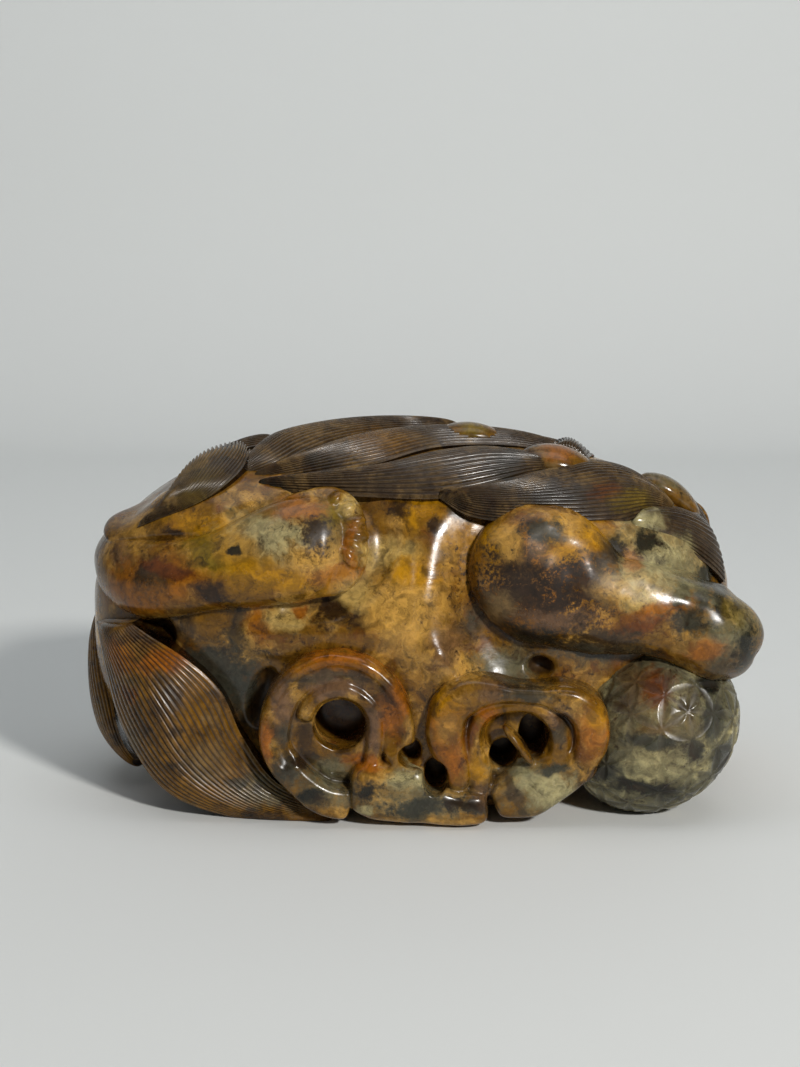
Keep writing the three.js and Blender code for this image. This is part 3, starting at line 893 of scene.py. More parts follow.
def head():
    clay = Clay((18, 8, 22), (72, 46, 74), 0.42)
    clay.press(pebble(HEAD, (20, 15.5, 16), sides=64))
    clay.press(pebble(head_at(0, 11.0, 1.5), (6.4, 8, 8)), 3.0)
    clay.press(pebble(head_at(0, 12.5, -6), (12, 7.2, 7)), 2.0)
    clay.press(pebble(head_at(0, 17.6, -1.2), (5, 3, 3.4)), 1.2)
    clay.press(pebble(head_at(0, 11, -14), (8.6, 6.4, 4.6)), 1.0)
    for s in (-1, 1):
        clay.press(pebble(head_at(s * 2.9, 18.4, -2.2), (2.4, 2.2, 2.2), sides=24), 0.8)
        clay.cut(pebble(head_at(s * 2.7, 20.6, -2.6), (1.0, 1.6, 0.9), sides=20), 0.4)
        clay.cut(pebble(head_at(s * 8.2, 14.6, 4.4), (5.2, 3.0, 4.4)), 1.5)
        clay.press(pebble(head_at(s * 8.2, 12.8, 4.4), (3.6, 3.4, 3.1)), 0.3)
        clay.cut(pebble(head_at(s * 8.0, 16.4, 4.2), (0.9, 1.0, 0.9), sides=20), 0.3)
        brow = [
            open_at(*head_at(s * 2.6, 14.6, 6.4), 2, 2.4, (0, 1, 0)),
            open_at(*head_at(s * 8.4, 14, 10), 2.6, 3, (0, 1, 0)),
            open_at(*head_at(s * 14.6, 10, 7), 2, 2.4, (0, 1, 0)),
        ]
        clay.press(limb(brow, sides=30, rings=30), 0.8)
        ear = [
            open_at(*head_at(s * 14, 5, 6), 3.4, 2.6, (0, 1, 0.4)),
            open_at(*head_at(s * 19, 4, 4), 4, 2.6, (0, 1, 0)),
            open_at(*head_at(s * 21, 3, -5), 2.6, 2.2, (0, 1, 0)),
        ]
        clay.press(limb(ear, sides=30, rings=30), 0.6)
        clay.cut(pebble(head_at(s * 19, 6.6, 1.5), (1.7, 1.8, 4.6), tilt=s * 0.25, sides=24), 0.8)
        clay.press(pebble(head_at(s * 15.4, 7.5, -7), (6, 5.4, 7.4)), 0.6)
        clay.cut(spiral(head_at(s * 15.4, 9.2, -7), 5.2, 1.8, 0.62, hand=s), 0.3)
        clay.press(pebble(head_at(s * 9.5, 8.5, -16.5), (5.2, 5, 6)), 0.6)
        clay.cut(spiral(head_at(s * 9.5, 10.4, -16.5), 4.4, 1.6, 0.55, hand=s), 0.3)
        lip = [
            open_at(*head_at(0, 19.2, -10.6), 0.7, 2.6, (0, 1, 0)),
            open_at(*head_at(s * 6, 18.2, -9.8), 0.9, 2.8, (0, 1, 0)),
            open_at(*head_at(s * 11.4, 13.4, -8.2), 0.6, 2.6, (0, 1, 0)),
        ]
        clay.cut(limb(lip, sides=20, rings=30), 0.3)
    clay.cut(
        limb(
            [
                open_at(*head_at(0, 20.6, -4.4), 0.4, 0.9, (0, 1, 0)),
                open_at(*head_at(0, 19.6, -9.6), 0.4, 0.9, (0, 1, 0)),
            ],
            sides=16,
            rings=20,
        ),
        0.2,
    )
    return from_clay("lion_head", clay.polish(), 90000)


def limb_chart(stations):
    """The outside of a limb as a chart: degrees round it from its way out, and a share along."""
    at = [s[0] for s in stations]

    def chart(turn, along, lift=0.0):
        turn, along, lift = np.broadcast_arrays(*(np.asarray(a, float) for a in (turn, along, lift)))
        shape = turn.shape
        turn, along, lift = np.radians(turn.ravel()), along.ravel(), lift.ravel()
        tangent = unit(spline(at, along + 1e-3) - spline(at, along - 1e-3))
        out = spline([s[1] for s in stations], along)
        normal = unit(out - tangent * (out * tangent).sum(1, keepdims=True))
        side = np.cross(tangent, normal)
        half = spline([(s[2], s[3]) for s in stations], along) * oval(2 * along - 1, 3.0)[:, None]
        across, proud = side * np.sin(turn)[:, None], normal * np.cos(turn)[:, None]
        away = unit(across / np.maximum(half[:, :1], 0.5) + proud / np.maximum(half[:, 1:], 0.5))
        point = spline(at, along) + across * half[:, :1] + proud * half[:, 1:] + away * lift[:, None]
        return point.reshape(*shape, 3)

    return chart


def solid_object(name, shell):
    """A closed shell as an object of its own, with its poles merged."""
    obj = new_object(name, shell[0], shell[1])
    edit = bmesh.new()
    edit.from_mesh(obj.data)
    bmesh.ops.remove_doubles(edit, verts=edit.verts, dist=1e-7)
    edit.to_mesh(obj.data)
    edit.free()
    obj.data.polygons.foreach_set("use_smooth", np.ones(len(obj.data.polygons), bool))
    return facing_out(obj)


BEADS = (
    (9.8, 84, 7.6, 4.6),
    (28.5, 66, 7.9, 5.0),
    (54, 78, 6.6, 4.2),
    (-9, 122, 7.0, 4.4),
    (-29, 118, 6.4, 4.0),
)


def spine_beads():
    made = []
    proud = size("bead_relief")
    for x, degrees, long, wide in BEADS:
        run = [
            stone_at(x - long, degrees, wide, proud, 0.8),
            stone_at(x, degrees, wide, proud, 1.2),
            stone_at(x + long, degrees, wide, proud, 0.8),
        ]
        made.append(solid_object("bead", limb(run, sides=40, rings=36, fullness=2.0)))
    return joined("spine_beads", made)


# The brocade ball and its lattice of leaves

LATTICE_TURN = (251, 326, 335)
LATTICE_FREQUENCY = 3


def on_ball(directions):
    """Points of the ball's surface from directions of a unit sphere."""
    short = size("ball_short_radius")
    p = np.asarray(directions) * (size("ball_long_radius"), short, short)
    c, s = math.cos(-BALL_TILT), math.sin(-BALL_TILT)
    x, y, z = p.T
    return np.stack([x * c + z * s, y, -x * s + z * c], -1) + BALL_CENTRE


def ico_sphere(level):
    edit = bmesh.new()
    bmesh.ops.create_icosphere(edit, subdivisions=level, radius=1.0)
    points = np.array([v.co for v in edit.verts])
    faces = np.array([[v.index for v in f.verts] for f in edit.faces])
    edit.free()
    return unit(points), faces


def lattice():
    """Directions of the lattice's nodes, and the pairs that a leaf joins."""
    corners, faces = ico_sphere(1)
    n = LATTICE_FREQUENCY
    found = []
    for a, b, c in corners[faces]:
        found += [unit((a * i + b * j + c * (n - i - j)) / n) for i in range(n + 1) for j in range(n + 1 - i)]
    nodes = []
    for p in found:
        if all(np.linalg.norm(p - q) > 0.05 for q in nodes):
            nodes.append(p)
    nodes = np.array(nodes)
    away = np.linalg.norm(nodes[:, None] - nodes[None], axis=2)
    pairs = np.argwhere(np.triu((away > 0.05) & (away < 0.48)))
    turn = Euler([math.radians(a) for a in LATTICE_TURN]).to_matrix()
    return nodes @ np.array(turn).T, pairs


def guide_object(name, points, edges):
    mesh = bpy.data.meshes.new(name)
    mesh.from_pydata(to_frame(points).tolist(), [tuple(int(k) for k in e) for e in edges], [])
    obj = bpy.data.objects.new(name, mesh)
    bpy.context.scene.collection.objects.link(obj)
    return obj


def lattice_guides():
    """The lattice as two guides: its nodes, and its lines laid on the ball."""
    nodes, pairs = lattice()
    steps = 10
    share = np.linspace(0, 1, steps + 1)[:, None]
    points, edges = [], []
    for a, b in pairs:
        start = len(points) * (steps + 1)
        points.append(on_ball(unit(nodes[a] * (1 - share) + nodes[b] * share)))
        edges += [(start + k, start + k + 1) for k in range(steps)]
    stars = guide_object("lattice_nodes", on_ball(nodes), [])
    return stars, guide_object("lattice_lines", np.concatenate(points), edges)


def leaf_tree():
    """Geometry Nodes that cut a leaf along every line of the lattice, and round the stone
    between the leaves."""
    tree = bpy.data.node_groups.new("cut_leaves", "GeometryNodeTree")
    socket(tree, "Ball", "NodeSocketGeometry")
    socket(tree, "Lines", "NodeSocketObject")
    socket(tree, "Nodes", "NodeSocketObject")
    socket(tree, "Leaf half width", "NodeSocketFloat", 0.00105)
    socket(tree, "Leaf length", "NodeSocketFloat", 0.0068)
    socket(tree, "Leaf depth", "NodeSocketFloat", 0.0002)
    socket(tree, "Pillow height", "NodeSocketFloat", 0.00012)
    socket(tree, "Stone", "NodeSocketMaterial")
    tree.interface.new_socket("Ball", in_out="OUTPUT", socket_type="NodeSocketGeometry")
    given = tree.nodes.new("NodeGroupInput")
    maths = Web(tree).maths

    def nearest(guide, element):
        source = tree.nodes.new("GeometryNodeObjectInfo")
        tree.links.new(given.outputs[guide], source.inputs["Object"])
        node = tree.nodes.new("GeometryNodeProximity")
        node.target_element = element
        tree.links.new(source.outputs["Geometry"], node.inputs[0])
        return node.outputs["Distance"]

    aside, from_node = nearest("Lines", "EDGES"), nearest("Nodes", "POINTS")
    share = maths("DIVIDE", from_node, given.outputs["Leaf length"])
    wide = maths(
        "MULTIPLY", maths("SINE", maths("MULTIPLY", share, math.pi)), given.outputs["Leaf half width"]
    )
    ratio = maths("DIVIDE", aside, maths("MAXIMUM", wide, 1e-6))
    hollow = maths("SQRT", maths("MAXIMUM", maths("SUBTRACT", 1.0, maths("MULTIPLY", ratio, ratio)), 0.0))
    swell = maths("MINIMUM", maths("DIVIDE", aside, 0.0018), 1.0)
    swell = maths("MULTIPLY", swell, maths("SUBTRACT", 2.0, swell))
    move = maths(
        "SUBTRACT",
        maths("MULTIPLY", swell, given.outputs["Pillow height"]),
        maths("MULTIPLY", hollow, given.outputs["Leaf depth"]),
    )
    finish_carving(tree, given, "Ball", move, hollow)
    return tree


def brocade_ball():
    directions, faces = ico_sphere(7)
    ball = facing_out(new_object("brocade_ball", on_ball(directions), faces))
    nodes, lines = lattice_guides()
    run_nodes(
        ball,
        shared("leaves", leaf_tree),
        lines=lines,
        nodes=nodes,
        leaf_half_width=size("leaf_half_width") * MM,
        leaf_length=size("leaf_length") * MM,
        leaf_depth=size("leaf_depth") * MM,
        pillow_height=size("pillow_height") * MM,
        stone=stone("ball"),
    )
    for guide in (nodes, lines):
        bpy.data.objects.remove(guide)
    settle(ball)
    return ball


def settle(obj):
    """Flattens what would pass through the table."""
    co = np.empty(len(obj.data.vertices) * 3, np.float32)
    obj.data.vertices.foreach_get("co", co)
    co[2::3] = np.maximum(co[2::3], 0)
    obj.data.vertices.foreach_set("co", co)
    obj.data.update()
    return obj


# Hair locks


def comb_lock(
    name, chart, guides, crown, pitch=None, rim=0.5, root=LOCK_ROOT_DEPTH, rows=70, teeth=0.0, bare=None
):
    """A leaf of hair on a chart, between guide strands that run from its tip to its broad
    end. Each vertex keeps its place across the strands and how deep they are combed."""
    along = np.linspace(0, 1, rows + 1)
    runs = np.stack([spline(g, along) for g in guides])
    ends = chart(runs[:, -1, 0], runs[:, -1, 1])
    width = np.linalg.norm(np.diff(ends, axis=0), axis=1).sum()
    middle = chart(runs[:, rows // 2, 0], runs[:, rows // 2, 1])
    width = max(width, np.linalg.norm(np.diff(middle, axis=0), axis=1).sum())
    strands = max(3, int(round(width / (pitch or size("mane_pitch")))))
    steps = strands * STRAND_STEPS
    across = np.linspace(0, 1, steps + 1)
    ridge = 1 - np.abs(2 * ((across * strands) % 1.0) - 1) ** 2
    reach = 1 - teeth * (1 - ridge)
    field = spline(runs.reshape(len(guides), -1), across).reshape(steps + 1, rows + 1, 2)
    if teeth:
        index = along[None] * reach[:, None] * rows
        k = np.minimum(index.astype(int), rows - 1)
        w = (index - k)[..., None]
        line = np.arange(steps + 1)[:, None]
        field = field[line, k] * (1 - w) + field[line, k + 1] * w
    lift = rim + (crown - rim) * np.sin(math.pi * across)[:, None] * oval(2 * along - 1, 4)[None]
    top = chart(field[..., 0], field[..., 1], lift)
    low = chart(field[0, :, 0], field[0, :, 1], -root)
    high = chart(field[-1, :, 0], field[-1, :, 1], -root)
    columns = rows + 1
    count = (steps + 1) * columns
    quads = [list(q) for q in grid_quads(steps + 1, columns)]
    last = steps * columns
    for i in range(rows):
        quads.append([i, i + 1, count + i + 1, count + i])
        quads.append([last + i + 1, last + i, count + columns + i, count + columns + i + 1])
        quads.append([count + i, count + i + 1, count + columns + i + 1, count + columns + i])
    tip = [k * columns for k in range(steps + 1)]
    end = [k * columns + rows for k in range(steps + 1)]
    quads.append([*tip, count + columns, count])
    quads.append([*end, count + columns + rows, count + rows][::-1])
    obj = new_object(name, np.concatenate([top.reshape(-1, 3), low, high]), quads)
    strand = np.zeros(count + 2 * columns, np.float32)
    strand[:count] = np.repeat(across * strands, columns)
    depth = smoothstep(0, 0.08, along)[None] * smoothstep(0, 0.04, across)[:, None]
    depth = depth * smoothstep(1, 0.96, across)[:, None]
    if bare is not None:
        depth = depth * bare(across[:, None], along[None])
    combed = np.zeros_like(strand)
    combed[:count] = depth.ravel()
    for title, values in (("strand", strand), ("combed", combed)):
        obj.data.attributes.new(title, "FLOAT", "POINT").data.foreach_set("value", values)
    return facing_out(obj)



def socket(tree, name, kind, value=None):
    made = tree.interface.new_socket(name, in_out="INPUT", socket_type=kind)
    if value is not None:
        made.default_value = value
    return made


def finish_carving(tree, given, name, move, groove):
    """Ends a tree: keeps the groove as "hollow", which darkens the stone's colour as grime and
    painted shade, moves the surface along its normal, and sets the stone."""
    web = Web(tree)
    keep = web.add(
        "GeometryNodeStoreNamedAttribute",
        {"Name": "hollow", "Geometry": given.outputs[name], "Value": groove},
        data_type="FLOAT",
        domain="POINT",
    )
    normal = web.add("GeometryNodeInputNormal").outputs["Normal"]
    offset = web.vector("SCALE", normal, move)
    shift = web.add("GeometryNodeSetPosition", {"Geometry": keep.outputs["Geometry"], "Offset": offset})
    real = web.add("GeometryNodeRealizeInstances", {"Geometry": shift.outputs["Geometry"]})
    stone = web.add(
        "GeometryNodeSetMaterial",
        {"Geometry": real.outputs["Geometry"], "Material": given.outputs["Stone"]},
    )
    web.add("NodeGroupOutput", {name: stone.outputs["Geometry"]})


def strand_tree():
    """Geometry Nodes that comb grooves into a lock, along its strand attribute."""
    tree = bpy.data.node_groups.new("comb_strands", "GeometryNodeTree")
    socket(tree, "Lock", "NodeSocketGeometry")
    socket(tree, "Groove depth", "NodeSocketFloat", 0.0003)
    socket(tree, "Ridge sharpness", "NodeSocketFloat", 2.0)
    socket(tree, "Stone", "NodeSocketMaterial")
    tree.interface.new_socket("Lock", in_out="OUTPUT", socket_type="NodeSocketGeometry")
    given = tree.nodes.new("NodeGroupInput")
    maths = Web(tree).maths

    def attribute(name):
        node = tree.nodes.new("GeometryNodeInputNamedAttribute")
        node.data_type = "FLOAT"
        node.inputs["Name"].default_value = name
        return node.outputs["Attribute"]

    phase = maths("FRACT", attribute("strand"))
    off = maths("ABSOLUTE", maths("SUBTRACT", maths("MULTIPLY", phase, 2.0), 1.0))
    valley = maths("POWER", off, given.outputs["Ridge sharpness"])
    groove = maths("MULTIPLY", valley, attribute("combed"))
    sink = maths("MULTIPLY", maths("MULTIPLY", groove, given.outputs["Groove depth"]), -1.0)
    finish_carving(tree, given, "Lock", sink, groove)
    return tree


def run_nodes(obj, tree, **values):
    """Runs a node tree on an object, with its inputs set by name, and keeps the result."""
    modifier = obj.modifiers.new(tree.name, "NODES")
    modifier.node_group = tree
    wanted = {name.replace("_", " ").lower(): value for name, value in values.items()}
    for item in tree.interface.items_tree:
        if item.in_out == "INPUT" and item.name.lower() in wanted:
            modifier[item.identifier] = wanted[item.name.lower()]
    return apply_modifiers(obj)


MANE_LOCKS = {
    "rear_tuft": dict(
        guides=[
            [(-60.8, 43.5), (-51, 44.2), (-45.4, 46.5), (-41.3, 50.5), (-38.3, 56), (-36.9, 66.5)],
            [(-60.5, 44), (-52, 46), (-46.5, 50.5), (-43, 58), (-40.5, 68), (-40.8, 80.5)],
            [(-60.3, 44.4), (-53, 47.5), (-49, 54), (-46.8, 63), (-45.6, 72), (-46, 79.5)],
            [(-60, 44.8), (-54.5, 48.5), (-51.5, 55), (-50.2, 62), (-50, 70.5)],
            [(-60, 45.2), (-56, 48), (-54.3, 52), (-53.6, 57)],
            [(-59.8, 45.6), (-58, 47), (-56.8, 48.8), (-56.2, 50.5)],
        ],
        crown=4.8,
        rim=3.6,
        teeth=0.07,
        pitch=1.15,
    ),
    "crest_lock": dict(
        guides=[
            [(-38.5, 57), (-31, 59), (-25, 67), (-17, 80), (-4, 96), (8, 101)],
            [(-39, 62), (-37.5, 80), (-34, 96), (-20, 108), (-4, 112), (8, 106)],
        ],
        crown=4.0,
    ),
    "upper_lock": dict(
        guides=[
            [(-37, 54), (-25, 54), (-10, 58), (3, 69), (17, 75), (30, 78)],
            [(-36.5, 57), (-25, 68), (-13, 84), (2, 96), (17, 97), (30, 88)],
        ],
        crown=3.0,
    ),
    "flank_lock": dict(
        guides=[
            [(-36, 50.5), (-25, 46), (-13, 43.6), (4, 43), (14, 47), (26, 58)],
            [(-35, 53), (-22, 54), (-8, 57.5), (4, 66), (14, 70.5), (29, 65)],
        ],
        crown=3.4,
        rim=0.8,
    ),
    "neck_lock": dict(
        guides=[
            [(2.6, 43.4), (9, 37.4), (20, 35.6), (33, 35.6), (41.5, 38.6), (48, 47), (53.4, 54.6)],
            [(3, 44.4), (12, 43.4), (22, 45.6), (32, 50), (41, 56), (48, 58), (53.6, 56.4)],
            [(3.6, 45.4), (12, 49), (21, 54.5), (29, 63), (36.5, 76), (44, 80), (50, 70), (54.2, 58.4)],
        ],
        crown=3.8,
        rim=0.9,
    ),
}

CHEEK_LOCKS = {
    "cheek_fan": dict(
        guides=[
            [(46, 48), (50.5, 54), (54.5, 59), (58.0, 64), (60, 72)],
            [(44.5, 44), (50, 48), (55.5, 52), (60.0, 55.5), (62.8, 61)],
            [(43.5, 41), (50, 41.5), (56.5, 42), (62, 41.5), (65, 42)],
            [(44, 39.5), (50.5, 38), (57, 35.5), (62.5, 32), (65.6, 29)],
        ],
        crown=3.6,
        rim=1.8,
        teeth=0.06,
        pitch=1.25,
        bare=lambda across, along: smoothstep(0.1 + 0.25 * across, 0.3 + 0.3 * across, along),
    ),
    "ear_tuft": dict(
        guides=[
            [(27, 81), (28, 84), (28.5, 88), (27, 92)],
            [(31, 80), (32, 85), (32, 91), (32, 96)],
            [(36, 80), (36.5, 84), (37, 88), (38, 93)],
        ],
        crown=3.0,
        teeth=0.05,
    ),
    "end_lock": dict(
        guides=[
            [(54, 80), (60, 88), (64, 100), (66.4, 130)],
            [(53, 98), (59, 112), (63, 128), (65.6, 156)],
        ],
        crown=3.0,
    ),
}

FAR_LOCKS = {
    "far_rear_tuft": dict(
        guides=[
            [(-57, 137), (-50, 139), (-43, 134), (-37, 125), (-33, 114)],
            [(-56, 133), (-53, 120), (-50, 108), (-44, 104), (-36, 106)],
        ],
        crown=3.6,
    ),
    "far_flank_lock": dict(
        guides=[
            [(-34, 133), (-20, 137), (-4, 138), (10, 135), (24, 127), (36, 118)],
            [(-33, 129), (-20, 122), (-6, 116), (8, 112), (22, 110), (37, 114)],
        ],
        crown=2.8,
    ),
    "far_low_lock": dict(
        guides=[
            [(-16, 158), (-4, 161), (8, 160), (20, 154), (31, 142)],
            [(-15, 153), (-5, 145), (8, 140), (21, 135), (32, 138)],
        ],
        crown=2.8,
    ),
}

PLUME_GUIDES = [
    [(-71, 39.5), (-69, 30), (-65.5, 19), (-56, 6.5), (-42, 0.5), (-20, -1.5)],
    [(-62, 41.5), (-51, 35.5), (-43, 28), (-38.5, 18), (-31.5, 8), (-19, 2)],
]


REAR_LOCK = [
    open_at(-69, 13, 41, 8, 4, (-1, 0.3, 0)),
    open_at(-72.5, 5, 29, 10, 4.4, (-1, 0, 0)),
    open_at(-70, -3, 15, 10, 5, (-1, -0.2, -0.2)),
    open_at(-63, -9, 4.5, 6.5, 4.4, (-0.8, 0, -1)),
]
REAR_GUIDES = [[(-88, 0.03), (-88, 0.97)], [(0, 0.01), (0, 0.99)], [(88, 0.03), (88, 0.97)]]


class Workshop:
    """The materials and node trees that the pieces share."""

    made = {}


def shared(name, make):
    if name not in Workshop.made:
        Workshop.made[name] = make()
    return Workshop.made[name]


# Stone


class Web:
    """A short way to add nodes to a tree and link them."""

    def __init__(self, tree):
        self.tree = tree

    def add(self, kind, inputs=None, **settings):
        node = self.tree.nodes.new(kind)
        for key, value in settings.items():
            setattr(node, key, value)
        for key, value in (inputs or {}).items():
            self.put(node.inputs[key], value)
        return node

    def put(self, target, value):
        if isinstance(value, bpy.types.NodeSocket):
            self.tree.links.new(value, target)
        elif value is not None:
            target.default_value = (*value, 1) if target.type == "RGBA" and len(value) == 3 else value

    def maths(self, operation, a, b=None, clamp=False):
        return self.add("ShaderNodeMath", {0: a, 1: b}, operation=operation, use_clamp=clamp).outputs[0]

    def vector(self, operation, a, b=None):
        node = self.add("ShaderNodeVectorMath", {0: a}, operation=operation)
        self.put(node.inputs["Scale" if operation == "SCALE" else 1], b)
        return node.outputs[1 if operation == "LENGTH" else 0]

    def mix(self, share, a, b, blend="MIX"):
        return self.add(
            "ShaderNodeMix", {0: share, 6: a, 7: b}, data_type="RGBA", blend_type=blend
        ).outputs[2]

    def ease(self, value, low, high, to_low=0.0, to_high=1.0):
        inputs = {"Value": value, "From Min": low, "From Max": high, "To Min": to_low, "To Max": to_high}
        return self.add("ShaderNodeMapRange", inputs, interpolation_type="SMOOTHSTEP").outputs[0]

    def noise(self, at, size, detail=3.0, roughness=0.55, output=0):
        inputs = {"Vector": at, "Scale": 1 / size, "Detail": detail, "Roughness": roughness}
        return self.add("ShaderNodeTexNoise", inputs).outputs[output]


def shader_group(name, inputs, outputs):
    """A shader group with its sockets, its web, its input node and a way to end it."""
    tree = bpy.data.node_groups.new(name, "ShaderNodeTree")
    kinds = {float: "NodeSocketFloat", tuple: "NodeSocketVector", str: "NodeSocketColor"}
    for title, kind in inputs:
        tree.interface.new_socket(title, in_out="INPUT", socket_type=kinds[kind])
    for title, kind in outputs:
        tree.interface.new_socket(title, in_out="OUTPUT", socket_type=kinds[kind])
    web = Web(tree)
    given = web.add("NodeGroupInput").outputs

    def end(**values):
        node = web.add("NodeGroupOutput")
        for title, value in values.items():
            tree.links.new(value, node.inputs[title.replace("_", " ")])
        return tree

    return web, given, end


def drift_group():
    """Bends the stone's coordinates so that no patch has a plain edge, and gives the two
    grain patterns that break patches up."""
    web, given, end = shader_group(
        "stone_drift", [("Position", tuple)], [("Bent", tuple), ("Speck", float), ("Cloud", float)]
    )
    at = given["Position"]
    bent = at
    for size, reach, detail in ((8.0, 9.0, 2), (2.6, 4.0, 2), (0.8, 0.7, 2)):
        lean = web.vector("SUBTRACT", web.noise(at, size, detail, output=1), (0.5, 0.5, 0.5))
        bent = web.vector("ADD", bent, web.vector("SCALE", lean, reach))
    return end(Bent=bent, Speck=web.noise(at, 0.9, 5, 0.68), Cloud=web.noise(bent, 3.6, 4, 0.62))


def ground_group():
    """The stone's own mottling, out of four colours, with thin stained veins."""
    web, given, end = shader_group(
        "stone_ground",
        [
            ("Bent", tuple),
            ("Speck", float),
            ("Cloud", float),
            ("Main", str),
            ("Pale", str),
            ("Deep", str),
            ("Spots", str),
        ],
        [("Colour", str)],
    )
    pale = web.ease(web.noise(given["Bent"], 10.0, 5, 0.6), 0.47, 0.66)
    deep = web.ease(web.noise(web.vector("ADD", given["Bent"], (37.0, 11.0, 5.0)), 8.0, 5, 0.62), 0.48, 0.7)
    colour = web.mix(pale, given["Main"], given["Pale"])
    colour = web.mix(web.maths("MULTIPLY", deep, 0.85), colour, given["Deep"])
    spots = web.ease(web.maths("ADD", given["Speck"], web.maths("MULTIPLY", given["Cloud"], 0.9)), 1.04, 1.22)
    return end(Colour=web.mix(web.maths("MULTIPLY", spots, 0.8), colour, given["Spots"]))


def stain_group():
    """Fine staining that runs through every colour: soft brown clouds, freckles and veins."""
    web, given, end = shader_group(
        "stone_stain",
        [("Bent", tuple), ("Speck", float), ("Cloud", float), ("Colour", str), ("Stain", str)],
        [("Colour", str)],
    )
    where = web.ease(web.noise(web.vector("ADD", given["Bent"], (5.0, 23.0, 41.0)), 6.0, 3), 0.42, 0.62)
    crack = web.maths(
        "ABSOLUTE",
        web.maths(
            "SUBTRACT", web.noise(web.vector("ADD", given["Bent"], (61.0, 3.0, 17.0)), 5.0, 3, 0.6), 0.5
        ),
    )
    vein = web.maths("MULTIPLY", web.ease(crack, 0.012, 0.0), where)
    freckle = web.maths("MULTIPLY", web.ease(given["Speck"], 0.54, 0.7), where)
    cloud = web.maths("MULTIPLY", web.ease(given["Cloud"], 0.46, 0.66, 0.05, 0.7), where)
    colour = web.mix(cloud, given["Colour"], given["Stain"])
    colour = web.mix(web.maths("MULTIPLY", freckle, 0.75), colour, given["Stain"])
    colour = web.mix(web.maths("MULTIPLY", vein, 0.5), colour, given["Stain"])
    shade = web.ease(web.noise(given["Bent"], 2.4, 5, 0.65), 0.3, 0.7, 0.62, 1.34)
    milk = web.add("ShaderNodeCombineColor", {0: shade, 1: shade, 2: shade}).outputs[0]
    return end(Colour=web.mix(1.0, colour, milk, "MULTIPLY"))


def patch_group():
    """Lays one patch of colour over the stone. Grain breaks it up into specks."""
    web, given, end = shader_group(
        "stone_patch",
        [
            ("Position", tuple),
            ("Bent", tuple),
            ("Speck", float),
            ("Cloud", float),
            ("Below", str),
            ("Colour", str),
            ("Centre", tuple),
            ("Radii", tuple),
            ("Tilt", float),
            ("Softness", float),
            ("Grain", float),
            ("Strength", float),
            ("Bend", float),
        ],
        [("Colour", str)],
    )
    lean = web.vector("SCALE", web.vector("SUBTRACT", given["Bent"], given["Position"]), given["Bend"])
    at = web.vector("SUBTRACT", web.vector("ADD", given["Position"], lean), given["Centre"])
    turned = web.add("ShaderNodeVectorRotate", {"Vector": at, "Angle": given["Tilt"]}, rotation_type="Y_AXIS")
    away = web.vector("LENGTH", web.vector("DIVIDE", turned.outputs[0], given["Radii"]))
    grit = web.maths("MULTIPLY", web.maths("SUBTRACT", given["Speck"], 0.5), given["Grain"])
    drift = web.maths("MULTIPLY", web.maths("SUBTRACT", given["Cloud"], 0.5), 0.9)
    inside = web.maths("ADD", web.maths("ADD", web.maths("SUBTRACT", 1.2, away), grit), drift)
    share = web.maths("MULTIPLY", web.ease(inside, 0.0, given["Softness"]), given["Strength"])
    return end(Colour=web.mix(share, given["Below"], given["Colour"]))


def polish_group():
    """Old polish: grime and painted shade darkening the hollows, a clouded gloss, and fine pits and
    scratches.
    """
    web, given, end = shader_group(
        "old_polish",
        [
            ("Position", tuple),
            ("Colour", str),
            ("Hollow", float),
            ("Dirt", str),
            ("Dirt share", float),
            ("Dull", float),
        ],
        [("Colour", str), ("Roughness", float), ("Height", float)],
    )
    at = given["Position"]
    cloud = web.noise(at, 3.0, 3)
    grain = web.noise(at, 0.35, 3, 0.7)
    # Painted shade with grime: creases and grooves are darkened towards the grime colour by how deep they lie
    dirt = web.maths("MULTIPLY", web.ease(given["Hollow"], 0.15, 0.9), given["Dirt share"])
    colour = web.mix(dirt, given["Colour"], given["Dirt"])
    shade = web.maths("ADD", 0.86, web.maths("MULTIPLY", web.noise(at, 1.4, 4, 0.65), 0.28))
    lit = web.add("ShaderNodeCombineColor", {0: shade, 1: shade, 2: shade}).outputs[0]
    colour = web.mix(1.0, colour, lit, "MULTIPLY")
    rough = web.maths(
        "ADD", web.ease(cloud, 0.35, 0.7, 0.16, 0.3), web.maths("MULTIPLY", given["Hollow"], 0.25)
    )
    rough = web.maths("ADD", rough, web.maths("MULTIPLY", given["Dull"], 0.3))
    stretched = web.vector("MULTIPLY", at, (0.35, 1.0, 1.6))
    height = web.maths("ADD", web.maths("MULTIPLY", grain, 0.35), web.maths("MULTIPLY", cloud, 2.2))
    height = web.maths("ADD", height, web.maths("MULTIPLY", web.noise(stretched, 0.5, 2), 0.3))
    return end(Colour=colour, Roughness=rough, Height=height)


PALE = ("cream", "ivory", "peach", "gold")


def patch(colour, x, z, wide, tall, tilt=0, soft=None, grain=None, y=-34, deep=20, strength=0.95):
    """A patch of colour in the stone, in millimetres and degrees. A small one bends less."""
    return dict(
        colour=colour,
        centre=(x, y, z),
        radii=(wide, deep, tall),
        tilt=math.radians(tilt),
        softness=soft or min(1.05, 0.45 + 0.1 * min(wide, tall)),
        grain=grain or (0.4 if colour in PALE else 1.0),
        strength=strength,
        bend=min(1.0, 0.3 + 0.09 * min(wide, tall)),
    )


